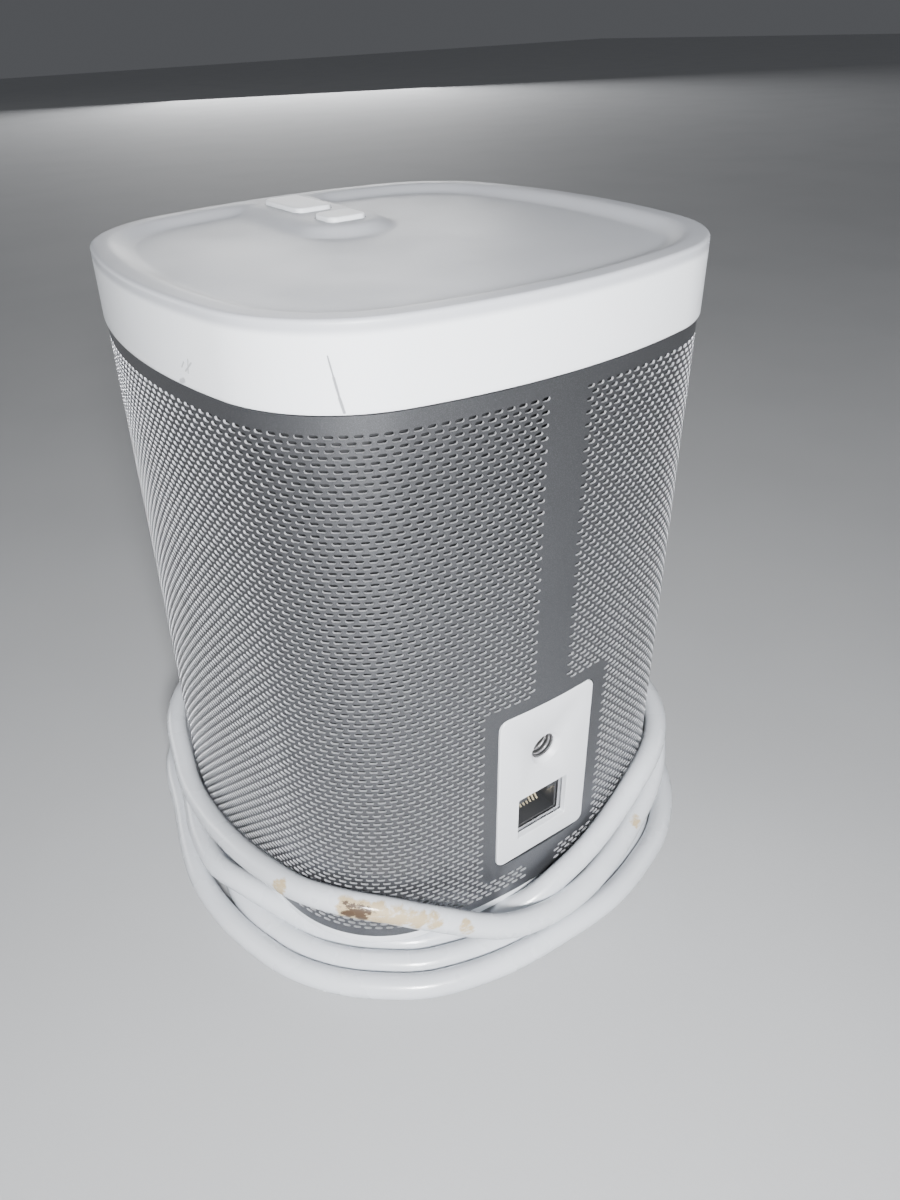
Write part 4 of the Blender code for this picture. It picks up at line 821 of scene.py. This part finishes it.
def cut(piece, points, faces, operation="DIFFERENCE"):
    """Applies a Boolean with a shape given as points and faces."""
    mesh = bpy.data.meshes.new("cutter")
    mesh.from_pydata([tuple(point) for point in points], [], faces)
    tool = bpy.data.objects.new("cutter", mesh)
    bpy.context.scene.collection.objects.link(tool)
    modifier = piece.modifiers.new("cut", "BOOLEAN")
    modifier.operation = operation
    modifier.solver = "EXACT"
    modifier.object = tool
    settle(piece)
    bpy.data.objects.remove(tool)


def settle(piece):
    """Turns the piece's modifiers into plain mesh."""
    graph = bpy.context.evaluated_depsgraph_get()
    graph.update()
    mesh = bpy.data.meshes.new_from_object(piece.evaluated_get(graph), depsgraph=graph)
    piece.modifiers.clear()
    piece.data = mesh


def smoothstep(low, high, value):
    share = min(max((value - low) / (high - low), 0.0), 1.0)
    return share * share * (3 - 2 * share)


def stand_for(piece, nodes, body="cabinet"):
    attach(piece, body)
    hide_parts(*nodes)


# ---------------------------------------------------------------- the wound lead
def flowing(rows, stops):
    """Reads a smooth curve through rows of (place, value, value) at each stop."""
    rows = np.array(rows, float)
    place = rows[:, 0]
    slopes = np.gradient(rows[:, 1:], place, axis=0)
    cells = np.clip(np.searchsorted(place, stops, side="right") - 1, 0, len(place) - 2)
    width = place[cells + 1] - place[cells]
    t = ((stops - place[cells]) / width)[:, None]
    width = width[:, None]
    low, high = rows[cells, 1:], rows[cells + 1, 1:]
    return (
        low * (1 + 2 * t) * (1 - t) ** 2
        + slopes[cells] * width * t * (1 - t) ** 2
        + high * t**2 * (3 - 2 * t)
        + slopes[cells + 1] * width * t**2 * (t - 1)
    )


def wall_angle_point(angle, out, height):
    """The same point by its wall angle from the front."""
    return outline_point((angle - 180.0) / 360.0 * AROUND, out, height)


def lead_route():
    """The lead's middle line from its connector to its plug, in metres."""
    stops = np.arange(WINDING[0][0], WINDING[-1][0] + 0.1, 2.0)
    wound = flowing(WINDING, stops)
    middle = [wall_angle_point(a, o * MM, z * MM) for a, (o, z) in zip(stops, wound)]
    under = [Vector(point) * MM for point in LEAD_UNDER]
    tail = [Vector(point) * MM for point in LEAD_TAIL]
    line = even_line(under + middle + tail, 3.0 * MM)
    line[:, 2] = np.maximum(line[:, 2], CORD_DIAMETER / 2 + 0.08 * MM)
    return line


def even_line(points, spacing):
    """Evenly spaced points on a smooth curve through the given ones."""
    ends = [points[0] * 2 - points[1], *points, points[-1] * 2 - points[-2]]
    fine = []
    for a, b, c, d in zip(ends, ends[1:], ends[2:], ends[3:]):
        for step in range(8):
            t = step / 8
            bend = (2 * a - 5 * b + 4 * c - d) * t**2 + (3 * b - a - 3 * c + d) * t**3
            fine.append(0.5 * (2 * b + (c - a) * t + bend))
    fine.append(points[-1])
    fine = np.array([tuple(point) for point in fine])
    walked = np.concatenate([[0.0], np.cumsum(np.linalg.norm(np.diff(fine, axis=0), axis=1))])
    stops = np.linspace(0.0, walked[-1], max(2, round(walked[-1] / spacing)) + 1)
    return np.stack([np.interp(stops, walked, fine[:, k]) for k in range(3)], axis=1)


def tube_skin(line, radius, sides=20):
    """A tube along a line whose rings don't twist."""
    steps = np.gradient(line, axis=0)
    steps /= np.linalg.norm(steps, axis=1)[:, None]
    across = np.cross(steps[0], (0.0, 0.0, 1.0))
    rings = []
    for place, ahead in zip(line, steps):
        across = across - ahead * np.dot(across, ahead)
        across /= np.linalg.norm(across)
        up = np.cross(ahead, across)
        ring = []
        for k in range(sides):
            angle = 2 * math.pi * k / sides
            ring.append(tuple(place + radius * (across * math.cos(angle) + up * math.sin(angle))))
        rings.append(ring)
    return skin(rings)


def wind_lead():
    line = lead_route()
    points, faces = tube_skin(line, CORD_DIAMETER / 2)
    lead = make_piece("mains_lead", points, faces, (cord_white,))
    stand_for(lead, ("cord_lead", "cord_winding", "cord_tail"))


# ---------------------------------------------------------------- cap and keys
def platform_share(x, y):
    """1 on the flat key platform, falling to 0 across its soft slope."""
    half_width, back = 8.0 * MM, -12.6 * MM
    centre_y = back - half_width
    beyond = max(y - centre_y, 0.0)
    away = math.hypot(x, beyond) - half_width
    return 1.0 - smoothstep(0.0, 6.2 * MM, away)


def dish_height(inset):
    drop = DISH_DEPTH * smoothstep(RIM_WIDTH, RIM_WIDTH + 6.0 * MM, inset)
    return RIM_Z - drop - 0.25 * MM * smoothstep(10 * MM, 55 * MM, inset)


def surface(x, y, inset):
    dish = dish_height(inset)
    return dish + (RIM_Z - 0.02 * MM - dish) * platform_share(x, y)


def build_cap():
    wall = 2.2 * MM
    ceiling = RIM_Z - 4.2 * MM
    rings = []
    for inset, z in (
        (24.0 * MM, ceiling),
        (wall + 1.0 * MM, ceiling),
        (wall, ceiling - 1.0 * MM),
        (wall, CAP_BOTTOM + 0.2 * MM),
        (wall - 0.2 * MM, CAP_BOTTOM),
        (0.35 * MM, CAP_BOTTOM),
        (0.12 * MM, CAP_BOTTOM + 0.08 * MM),
        (0.0, CAP_BOTTOM + 0.32 * MM),
        (0.0, CAP_BOTTOM + 0.9 * MM),
        (0.0, RIM_Z - 1.4 * MM),
    ):
        rings.append(level(plan(inset), z))
    edge = 0.8 * MM
    for k in range(6):
        angle = math.radians(18 * k)
        inset = edge * (1 - math.cos(angle))
        rings.append(level(plan(inset), RIM_Z - edge + edge * math.sin(angle)))
    step = 0.7 * MM
    inset = edge
    while inset < 24.0 * MM:
        rings.append([(x, y, surface(x, y, inset)) for x, y in plan(inset)])
        inset += step
    inner = plan(24.0 * MM)
    shrink = 44
    for k in range(shrink):
        share = 1 - k / shrink
        depth = 24.0 * MM + (HALF - 24.0 * MM) * (1 - share)
        shrunk = [(x * share, y * share) for x, y in inner]
        rings.append([(x, y, surface(x, y, depth)) for x, y in shrunk])
    points, faces = skin(rings, closed_end=False)
    count = len(rings[0])
    faces = faces[: (len(rings) - 1) * count]
    faces.append(tuple(range(count))[::-1])
    middle = len(points)
    points.append((0.0, 0.0, surface(0.0, 0.0, HALF)))
    last = (len(rings) - 1) * count
    for k in range(count):
        faces.append((last + k, last + (k + 1) % count, middle))
    cap = make_piece("cap_shell", points, faces, (cap_white,), sharp=40)
    for node in ("volume_key", "play_key"):
        low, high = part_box(node)
        flange = 1.0 * MM
        half = (high.x - flange + 0.35 * MM, (high.y - low.y) / 2 - flange + 0.35 * MM)
        outline = rounded((0.0, (low.y + high.y) / 2), half, 2.3 * MM, 12)
        cut(cap, *skin([level(outline, CAP_BOTTOM), level(outline, RIM_Z + 4 * MM)]))
    low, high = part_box("status_light_pipe")
    radius = 1.2 * MM
    centre = ((low.x + high.x) / 2, (low.y + high.y) / 2)
    hole = rounded(centre, (radius, radius), radius * 0.999, 8)
    cut(cap, *skin([level(hole, CAP_BOTTOM), level(hole, RIM_Z + 4 * MM)]))
    cap.data.shade_smooth()
    cap.data.set_sharp_from_angle(angle=math.radians(40))
    stand_for(cap, ("top_cap",))


def cut_pin_groove(key):
    """Opens the rocker's underside round the pin it turns on."""
    low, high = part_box("volume_key_pin")
    centre = ((low.y + high.y) / 2, (low.z + high.z) / 2)
    radius = (high.z - low.z) / 2 + 0.3 * MM
    circle = rounded(centre, (radius, radius), radius * 0.999, 8)
    ends = (low.x - 1.0 * MM, high.x + 1.0 * MM)
    cut(key, *skin([[(x, y, z) for y, z in circle] for x in ends]))


def build_key(name, node, body):
    """A key with a softly rolled edge over its hidden flange."""
    low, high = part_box(node)
    flange = 1.0 * MM
    centre = (0.0, (low.y + high.y) / 2)
    half = (high.x - flange, (high.y - low.y) / 2 - flange)
    under = RIM_Z - 4.2 * MM - 1.6 * MM
    rings = [
        level(rounded(centre, (half[0] + flange, half[1] + flange), 2.6 * MM), under),
        level(rounded(centre, (half[0] + flange, half[1] + flange), 2.6 * MM), under + 0.9 * MM),
        level(rounded(centre, half, 2.0 * MM), under + 0.9 * MM),
    ]
    roll = 0.55 * MM
    for k in range(7):
        angle = math.radians(15 * k)
        inset = roll * (1 - math.cos(angle))
        size = (half[0] - inset, half[1] - inset)
        z = high.z - roll + roll * math.sin(angle)
        rings.append(level(rounded(centre, size, 2.0 * MM - inset), z))
    for shrink in (0.8, 0.45):
        size = (half[0] * shrink, half[1] * shrink)
        z = high.z - 0.06 * MM * (1 - shrink)
        rings.append(level(rounded(centre, size, 1.4 * MM * shrink), z))
    key = make_piece(name, *skin(rings), (white_shell,))
    if node == "volume_key":
        cut_pin_groove(key)
    stand_for(key, (node,), body)


# ---------------------------------------------------------------- grille
PITCH = (AROUND - 2 * STRIP_HALF_WIDTH) / HALF_PITCHES
CELL_EDGES = [STRIP_HALF_WIDTH + (k - 1) * PITCH for k in range(HALF_PITCHES + 3)]
ROW_EDGES = [TOP_ROW_Z + (0.5 - k) * ROW_PITCH for k in range(SLOT_ROWS + 1)]
PANEL_CELLS = 8


def in_panel_margin(along, z):
    """Whether a slot would stand in the plain border round the rear panel."""
    half, bottom, top, radius = PANEL_MARGIN
    s = (along + AROUND / 2) % AROUND - AROUND / 2
    dx = abs(s) - (half + 0.4 * MM - radius)
    dz = abs(z - (top + bottom) / 2) - ((top - bottom) / 2 + 0.3 * MM - radius)
    return math.hypot(max(dx, 0.0), max(dz, 0.0)) + min(max(dx, dz), 0.0) < radius


def slot_places():
    """(column edge, row) of every punched slot."""
    places = []
    for row in range(SLOT_ROWS):
        start = 1 if row % 2 == 0 else 2
        for k in range(start, HALF_PITCHES + 2 - (row % 2), 2):
            if not in_panel_margin(CELL_EDGES[k], TOP_ROW_Z - row * ROW_PITCH):
                places.append((k, row))
    return places


def slot_cell():
    """One cell of sheet with its slot: along X, depth in Y, height in Z."""
    half, tall = PITCH, ROW_PITCH / 2
    outer = [(half, -tall), (half, tall), (0.0, tall), (-half, tall), (-half, -tall), (0.0, -tall)]
    radius = SLOT_HEIGHT / 2
    straight = SLOT_LENGTH / 2 - radius
    rim = []
    for side, first in ((1, -90), (-1, 90)):
        for k in range(5):
            angle = math.radians(first + 45 * k)
            rim.append((side * straight + radius * math.cos(angle), radius * math.sin(angle)))
    points = [(x, 0.0, z) for x, z in outer + rim] + [(x, SHEET, z) for x, z in rim]
    faces = [
        (0, 8, 1),
        (0, 7, 8),
        (0, 6, 7),
        (1, 8, 9),
        (1, 9, 10),
        (1, 10, 2),
        (2, 10, 11),
        (2, 11, 3),
        (3, 11, 12),
        (3, 12, 13),
        (3, 13, 4),
        (4, 13, 14),
        (4, 14, 15),
        (4, 15, 5),
        (5, 15, 6),
        (5, 6, 0),
    ]
    faces = [face[::-1] for face in faces]
    sheet_faces = len(faces)
    for k in range(10):
        after = (k + 1) % 10
        faces.append((6 + k, 6 + after, 16 + after, 16 + k))
    mesh = bpy.data.meshes.new("slot_cell")
    mesh.from_pydata(points, [], faces)
    wall = mesh.attributes.new("slot_wall", "BOOLEAN", "FACE")
    wall.data.foreach_set("value", [k >= sheet_faces for k in range(len(faces))])
    rim_edges = {tuple(sorted((6 + k, 6 + (k + 1) % 10))) for k in range(10)}
    sharp = mesh.attributes.new("sharp_edge", "BOOLEAN", "EDGE")
    on_rim = [tuple(sorted(edge.vertices)) in rim_edges for edge in mesh.edges]
    sharp.data.foreach_set("value", on_rim)
    mesh.shade_smooth()
    cell = bpy.data.objects.new("slot_cell", mesh)
    bpy.context.scene.collection.objects.link(cell)
    return cell


def wrap_tree(name):
    """Geometry Nodes: sets a cell on every place, bends the sheet round the outline
    and gives the faces their finish and the slot walls their painted highlight."""
    tree = bpy.data.node_groups.new(name, "GeometryNodeTree")
    sides = tree.interface
    kinds = (
        ("Geometry", "INPUT", "NodeSocketGeometry"),
        ("Cell", "INPUT", "NodeSocketObject"),
        ("Outline", "INPUT", "NodeSocketObject"),
        ("Weld distance", "INPUT", "NodeSocketFloat"),
        ("Face finish", "INPUT", "NodeSocketMaterial"),
        ("Wall finish", "INPUT", "NodeSocketMaterial"),
        ("Geometry", "OUTPUT", "NodeSocketGeometry"),
    )
    for label, direction, kind in kinds:
        sides.new_socket(name=label, in_out=direction, socket_type=kind)

    def node(kind, settings=(), sockets=()):
        made = tree.nodes.new(kind)
        for key, value in dict(settings).items():
            setattr(made, key, value)
        for key, value in dict(sockets).items():
            if isinstance(value, bpy.types.NodeSocket):
                tree.links.new(value, made.inputs[key])
            else:
                made.inputs[key].default_value = value
        return made

    given = node("NodeGroupInput").outputs
    cell = node("GeometryNodeObjectInfo", (), {"Object": given["Cell"]})
    outline = node("GeometryNodeObjectInfo", (), {"Object": given["Outline"]})
    placed = node(
        "GeometryNodeInstanceOnPoints",
        (),
        {"Points": given["Geometry"], "Instance": cell.outputs["Geometry"]},
    )
    real = node("GeometryNodeRealizeInstances", (), {"Geometry": placed.outputs[0]})
    where = node("GeometryNodeInputPosition")
    split = node("ShaderNodeSeparateXYZ", (), {0: where.outputs[0]})
    sample = node(
        "GeometryNodeSampleCurve",
        {"mode": "LENGTH", "use_all_curves": True},
        {"Curves": outline.outputs["Geometry"], "Length": split.outputs["X"]},
    )
    rise = node("ShaderNodeCombineXYZ", (), {"Z": 1.0})
    inward = node(
        "ShaderNodeVectorMath",
        {"operation": "CROSS_PRODUCT"},
        {0: rise.outputs[0], 1: sample.outputs["Tangent"]},
    )
    inward = node("ShaderNodeVectorMath", {"operation": "NORMALIZE"}, {0: inward.outputs[0]})
    depth = node(
        "ShaderNodeVectorMath",
        {"operation": "SCALE"},
        {0: inward.outputs[0], "Scale": split.outputs["Y"]},
    )
    height = node("ShaderNodeCombineXYZ", (), {"Z": split.outputs["Z"]})
    moved = node(
        "ShaderNodeVectorMath",
        {"operation": "ADD"},
        {0: sample.outputs["Position"], 1: depth.outputs[0]},
    )
    moved = node(
        "ShaderNodeVectorMath", {"operation": "ADD"}, {0: moved.outputs[0], 1: height.outputs[0]}
    )
    bent = node(
        "GeometryNodeSetPosition",
        (),
        {"Geometry": real.outputs[0], "Position": moved.outputs[0]},
    )
    welded = node(
        "GeometryNodeMergeByDistance",
        (),
        {"Geometry": bent.outputs[0], "Distance": given["Weld distance"]},
    )
    wall = node("GeometryNodeInputNamedAttribute", {"data_type": "BOOLEAN"}, {"Name": "slot_wall"})
    faced = node(
        "GeometryNodeSetMaterial",
        (),
        {"Geometry": welded.outputs[0], "Material": given["Face finish"]},
    )
    walled = node(
        "GeometryNodeSetMaterial",
        (),
        {
            "Geometry": faced.outputs[0],
            "Selection": wall.outputs["Attribute"],
            "Material": given["Wall finish"],
        },
    )
    node("NodeGroupOutput", (), {0: walled.outputs[0]})
    return tree


def grille_outline():
    """The grille's outer line as a closed curve, starting at the middle of the back."""
    curve = bpy.data.curves.new("grille_outline", "CURVE")
    curve.dimensions = "3D"
    steps = 1600
    spline = curve.splines.new("POLY")
    spline.points.add(steps)
    for k, point in enumerate(spline.points):
        point.co = (*outline_point(AROUND * min(k / steps, 1 - 1e-9), 0.0, 0.0), 1.0)
    line = bpy.data.objects.new("grille_outline", curve)
    bpy.context.scene.collection.objects.link(line)
    return line


def build_grille():
    cell, line = slot_cell(), grille_outline()
    tree = wrap_tree("punched_sheet")
    inputs = {}
    for item in tree.interface.items_tree:
        if item.in_out == "INPUT":
            inputs[item.name] = item.identifier
    places = slot_places()
    sectors = ("back_left", "front_left", "front_right", "back_right")
    for number, sector in enumerate(sectors):
        low = number * AROUND / 4
        points = []
        for column, row in places:
            along = CELL_EDGES[column]
            if low <= along < low + AROUND / 4:
                points.append((along, 0.0, TOP_ROW_Z - row * ROW_PITCH))
        piece = make_piece("grille_" + sector, points, [], ())
        modifier = piece.modifiers.new("punch", "NODES")
        modifier.node_group = tree
        modifier[inputs["Cell"]] = cell
        modifier[inputs["Outline"]] = line
        modifier[inputs["Weld distance"]] = 0.008 * MM
        modifier[inputs["Face finish"]] = finish(grille_grey)
        modifier[inputs["Wall finish"]] = finish(slot_wall_highlight)
        piece.data.update()
        settle(piece)
        stand_for(piece, ("grille",))
    bpy.data.objects.remove(cell)
    bpy.data.objects.remove(line)
    build_plain_sheet(set(places))


def build_plain_sheet(slots):
    """The grille's plain areas: its borders, the strip up the back and the border
    round the rear panel, with the panel's opening."""
    punched = set()
    for column, row in slots:
        punched.add((column - 1, row))
        punched.add((column, row))
    strip = [-CELL_EDGES[0] + 2 * CELL_EDGES[0] * k / 6 for k in range(6)]
    columns = [(edge + AROUND) % AROUND for edge in strip] + CELL_EDGES
    points, faces, known = [], [], {}

    def corner(column, z, depth=0.0):
        key = (column % len(columns), round(z / (0.001 * MM)), depth)
        if key not in known:
            known[key] = len(points)
            points.append(outline_point(columns[key[0]], -depth, z))
        return known[key]

    def cell_face(column, high, low):
        after = column + 1
        faces.append(
            (corner(after, high), corner(after, low), corner(column, low), corner(column, high))
        )

    offset = len(strip)
    top_row = round((ROW_EDGES[0] - (PANEL_HIGH.z + 0.3 * MM)) / ROW_PITCH - 0.5)
    bottom_row = math.ceil((ROW_EDGES[0] - (PANEL_LOW.z - 0.3 * MM)) / ROW_PITCH)
    first = offset + PANEL_CELLS
    last = len(columns) - 1 - PANEL_CELLS
    for column in range(len(columns)):
        cell = column - offset
        by_panel = column < first or column >= last
        for row in range(SLOT_ROWS):
            if (cell, row) in punched:
                continue
            if by_panel and top_row <= row < bottom_row:
                continue
            cell_face(column, ROW_EDGES[row], ROW_EDGES[row + 1])
    rings = (
        (GRILLE_HIGH.z, ROW_EDGES[0]),
        (ROW_EDGES[-1], GRILLE_LOW.z),
    )
    for high, low in rings:
        for column in range(len(columns)):
            cell_face(column, high, low)
    for z, flip in ((GRILLE_HIGH.z, 1), (GRILLE_LOW.z, -1)):
        for column in range(len(columns)):
            after = column + 1
            edge = (
                corner(column, z, SHEET),
                corner(column, z),
                corner(after, z),
                corner(after, z, SHEET),
            )
            faces.append(edge[::flip])
    add_panel_collar(points, faces, corner, first, last, top_row, bottom_row, len(columns))
    sheet = make_piece("grille_borders", points, faces, (grille_grey,), sharp=30)
    stand_for(sheet, ("grille",))


def add_panel_collar(points, faces, corner, first, last, top_row, bottom_row, count):
    """Joins the cells round the panel to the panel's rounded opening."""
    across = list(range(last, count)) + list(range(0, first + 1))
    rim = []
    for column in across[:-1]:
        rim.append((column, ROW_EDGES[top_row]))
    for row in range(top_row, bottom_row):
        rim.append((first, ROW_EDGES[row]))
    for column in across[:0:-1]:
        rim.append((column, ROW_EDGES[bottom_row]))
    for row in range(bottom_row, top_row, -1):
        rim.append((last, ROW_EDGES[row]))
    middle_z = (PANEL_HIGH.z + PANEL_LOW.z) / 2
    half = (PANEL_HIGH.x + 0.3 * MM, (PANEL_HIGH.z - PANEL_LOW.z) / 2 + 0.3 * MM)
    radius = 2.5 * MM
    outer, inner, deep = [], [], []
    for column, z in rim:
        index = corner(column, z)
        x = points[index][0]
        u = min(max(x, radius - half[0]), half[0] - radius)
        v = min(max(z - middle_z, radius - half[1]), half[1] - radius)
        away = Vector((x - u, z - middle_z - v))
        away = away.normalized() * radius
        edge_x, edge_z = u + away.x, middle_z + v + away.y
        edge_y = math.sqrt((SIDE_RADIUS - GRILLE_INSET) ** 2 - edge_x**2) - SIDE_REACH
        outer.append(index)
        inner.append(len(points))
        points.append(Vector((edge_x, edge_y, edge_z)))
        deep.append(len(points))
        points.append(Vector((edge_x, edge_y - SHEET, edge_z)))
    total = len(rim)
    for k in range(total):
        after = (k + 1) % total
        faces.append((outer[k], outer[after], inner[after], inner[k]))
        faces.append((inner[k], inner[after], deep[after], deep[k]))


# ---------------------------------------------------------------- panel and base
def build_panel():
    centre = (0.0, (PANEL_LOW.z + PANEL_HIGH.z) / 2)
    half = (PANEL_HIGH.x, (PANEL_HIGH.z - PANEL_LOW.z) / 2)
    roll = 0.35 * MM
    rings = []
    levels = [(PANEL_LOW.y, 0.0)]
    for k in range(6):
        angle = math.radians(18 * k)
        levels.append((PANEL_HIGH.y - roll + roll * math.sin(angle), roll * (1 - math.cos(angle))))
    for y, inset in levels:
        outline = rounded(centre, (half[0] - inset, half[1] - inset), 2.2 * MM - inset)
        rings.append([(x, y, z) for x, z in outline])
    points, faces = skin(rings)
    panel = make_piece("back_plate", points, [face[::-1] for face in faces], (satin_plate,))
    low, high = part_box("threaded_insert")
    middle_z = (low.z + high.z) / 2
    profile = [
        (3.35, PANEL_LOW.y - 1.0 * MM),
        (3.35, PANEL_HIGH.y - 1.15 * MM),
        (4.15, PANEL_HIGH.y - 0.22 * MM),
        (4.3, PANEL_HIGH.y - 0.08 * MM),
        (4.5, PANEL_HIGH.y + 0.02 * MM),
        (4.5, PANEL_HIGH.y + 1.0 * MM),
    ]
    rings = []
    for radius, y in profile:
        ring = []
        for k in range(64):
            angle = -2 * math.pi * k / 64
            x = radius * MM * math.cos(angle)
            ring.append((x, y, middle_z + radius * MM * math.sin(angle)))
        rings.append(ring)
    cut(panel, *skin(rings))
    shield_low, shield_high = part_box("network_socket_shield")
    middle_z = (shield_low.z + shield_high.z) / 2
    rings = []
    for y, grow in (
        (PANEL_LOW.y - 1.0 * MM, 0.0),
        (PANEL_HIGH.y - 0.15 * MM, 0.0),
        (PANEL_HIGH.y + 0.02 * MM, 0.12 * MM),
        (PANEL_HIGH.y + 1.0 * MM, 0.12 * MM),
    ):
        half = (7.45 * MM + grow, 6.35 * MM + grow)
        outline = rounded((0.0, middle_z), half, 0.35 * MM + grow, 4)
        rings.append([(x, y, z) for x, z in outline[::-1]])
    cut(panel, *skin(rings))
    panel.data.shade_smooth()
    panel.data.set_sharp_from_angle(angle=math.radians(30))
    stand_for(panel, ("rear_panel",))


def build_ring():
    inset = HALF - RING_HIGH.x
    low, high = RING_LOW.z, RING_HIGH.z
    roll = 0.5 * MM
    rings = []
    for k in range(6):
        angle = math.radians(18 * k)
        depth = inset + roll * (1 - math.sin(angle))
        rings.append(level(plan(depth), low + roll * (1 - math.cos(angle))))
    rings.append(level(plan(inset), high - 0.2 * MM))
    rings.append(level(plan(inset + 0.2 * MM), high))
    rings.append(level(plan(4.4 * MM), high))
    rings.append(level(plan(4.4 * MM), low))
    ring = make_piece("lower_trim_ring", *skin(rings, closed_end=False), (white_shell,))
    stand_for(ring, ("base_ring",))


def build_plug():
    """The plug's moulded body with finger ribs and its tapered strain relief."""
    middle = Vector(((PLUG_LOW.x + PLUG_HIGH.x) / 2, 0.0, (PLUG_LOW.z + PLUG_HIGH.z) / 2))
    half = ((PLUG_HIGH.x - PLUG_LOW.x) / 2, (PLUG_HIGH.z - PLUG_LOW.z) / 2)
    start_z = LEAD_TAIL[-1][2] * MM
    relief_end = PLUG_LOW.y + 30.0 * MM
    rings = []
    steps = 30
    span = PLUG_HIGH.y - relief_end
    for k in range(steps + 1):
        share = k / steps
        rise = (1 - math.cos(share * math.pi)) / 2
        groove = 0.35 * MM if 0.12 < share < 0.9 and k % 4 >= 2 else 0.0
        radius = CORD_DIAMETER / 2 + 0.2 * MM + 1.6 * MM * share - groove
        centre = (middle.x, start_z * (1 - rise) + middle.z * rise)
        outline = rounded(centre, (radius, radius), radius * 0.999, 6)
        rings.append([(x, PLUG_HIGH.y - span * share, z) for x, z in outline])
    for share, wide, tall in (
        (0.02, 0.55, 0.66),
        (0.10, 0.74, 0.80),
        (0.24, 0.86, 0.88),
        (0.40, 0.90, 0.90),
        (0.48, 0.97, 0.98),
        (0.54, 1.0, 1.0),
        (0.93, 1.0, 1.0),
        (0.98, 0.97, 0.96),
        (1.0, 0.93, 0.90),
    ):
        size = (half[0] * wide, half[1] * tall)
        outline = rounded((middle.x, middle.z), size, min(size) * 0.72, 6)
        rings.append([(x, relief_end + (PLUG_LOW.y - relief_end) * share, z) for x, z in outline])
    plug = make_piece("mains_plug", *skin(rings), (plug_white,), sharp=50)
    for side in (-1, 1):
        x = middle.x + side * 6.35 * MM
        slot = rounded((x, middle.z), (1.0 * MM, 3.5 * MM), 0.3 * MM, 2)
        ends = (PLUG_LOW.y + 6.2 * MM, PLUG_LOW.y - 1.0 * MM)
        cut(plug, *skin([[(u, y, v) for u, v in slot] for y in ends]))
    bridge = rounded((middle.x, middle.z), (8.35 * MM, 2.35 * MM), 0.2 * MM, 2)
    ends = (PLUG_LOW.y + 7.35 * MM, PLUG_LOW.y + 2.65 * MM)
    cut(plug, *skin([[(x, y, z) for x, z in bridge] for y in ends]))
    stand_for(plug, ("plug_body",))


# ---------------------------------------------------------------- inner parts
CAD_FINISHES = {
    black_moulding: (
        "acoustic_chamber",
        "rear_housing",
        "front_baffle",
        "top_frame",
        "network_socket_insert",
        "power_inlet",
        "tweeter_faceplate",
        "processor_chip",
        "power_capacitor",
        "play_plunger",
        "volume_down_plunger",
        "volume_up_plunger",
    ),
    plated_steel: (
        "base_screw_1",
        "base_screw_2",
        "base_screw_3",
        "base_screw_4",
        "woofer_screw_1",
        "woofer_screw_2",
        "woofer_screw_3",
        "woofer_screw_4",
        "network_socket_shield",
        "woofer_basket",
        "volume_key_pin",
        "play_switch",
        "volume_down_switch",
        "volume_up_switch",
        "plug_blades",
    ),
    threaded_steel: ("threaded_insert",),
    contact_gold: ("network_socket_contacts",),
    board_green: ("key_board", "main_board", "power_board", "antenna_left", "antenna_right"),
    bare_aluminium: ("heat_sink", "tweeter_dome"),
    dark_ferrite: ("woofer_magnet", "tweeter_magnet", "power_transformer"),
    cone_fibre: ("woofer_cone", "woofer_dust_cap"),
    soft_rubber: ("rubber_foot", "woofer_surround"),
    coil_copper: ("woofer_voice_coil",),
    spider_cloth: ("woofer_spider",),
    open_foam: ("damping_pad",),
    clear_pipe: ("status_light_pipe",),
    flat_cable: ("ribbon_cable",),
    white_shell: ("bottom_cover",),
    plug_white: ("cord_connector",),
}


def finish_inner_parts():
    for maker, nodes in CAD_FINISHES.items():
        for node in nodes:
            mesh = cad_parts[node].data
            mesh.materials.clear()
            mesh.materials.append(finish(maker))


place_camera()
build_plug()
wind_lead()
light_studio()
lay_floor()
build_cap()
build_key("volume_rocker", "volume_key", "volume_key_body")
build_key("play_button", "play_key", "play_key_body")
build_grille()
build_panel()
build_ring()
finish_inner_parts()
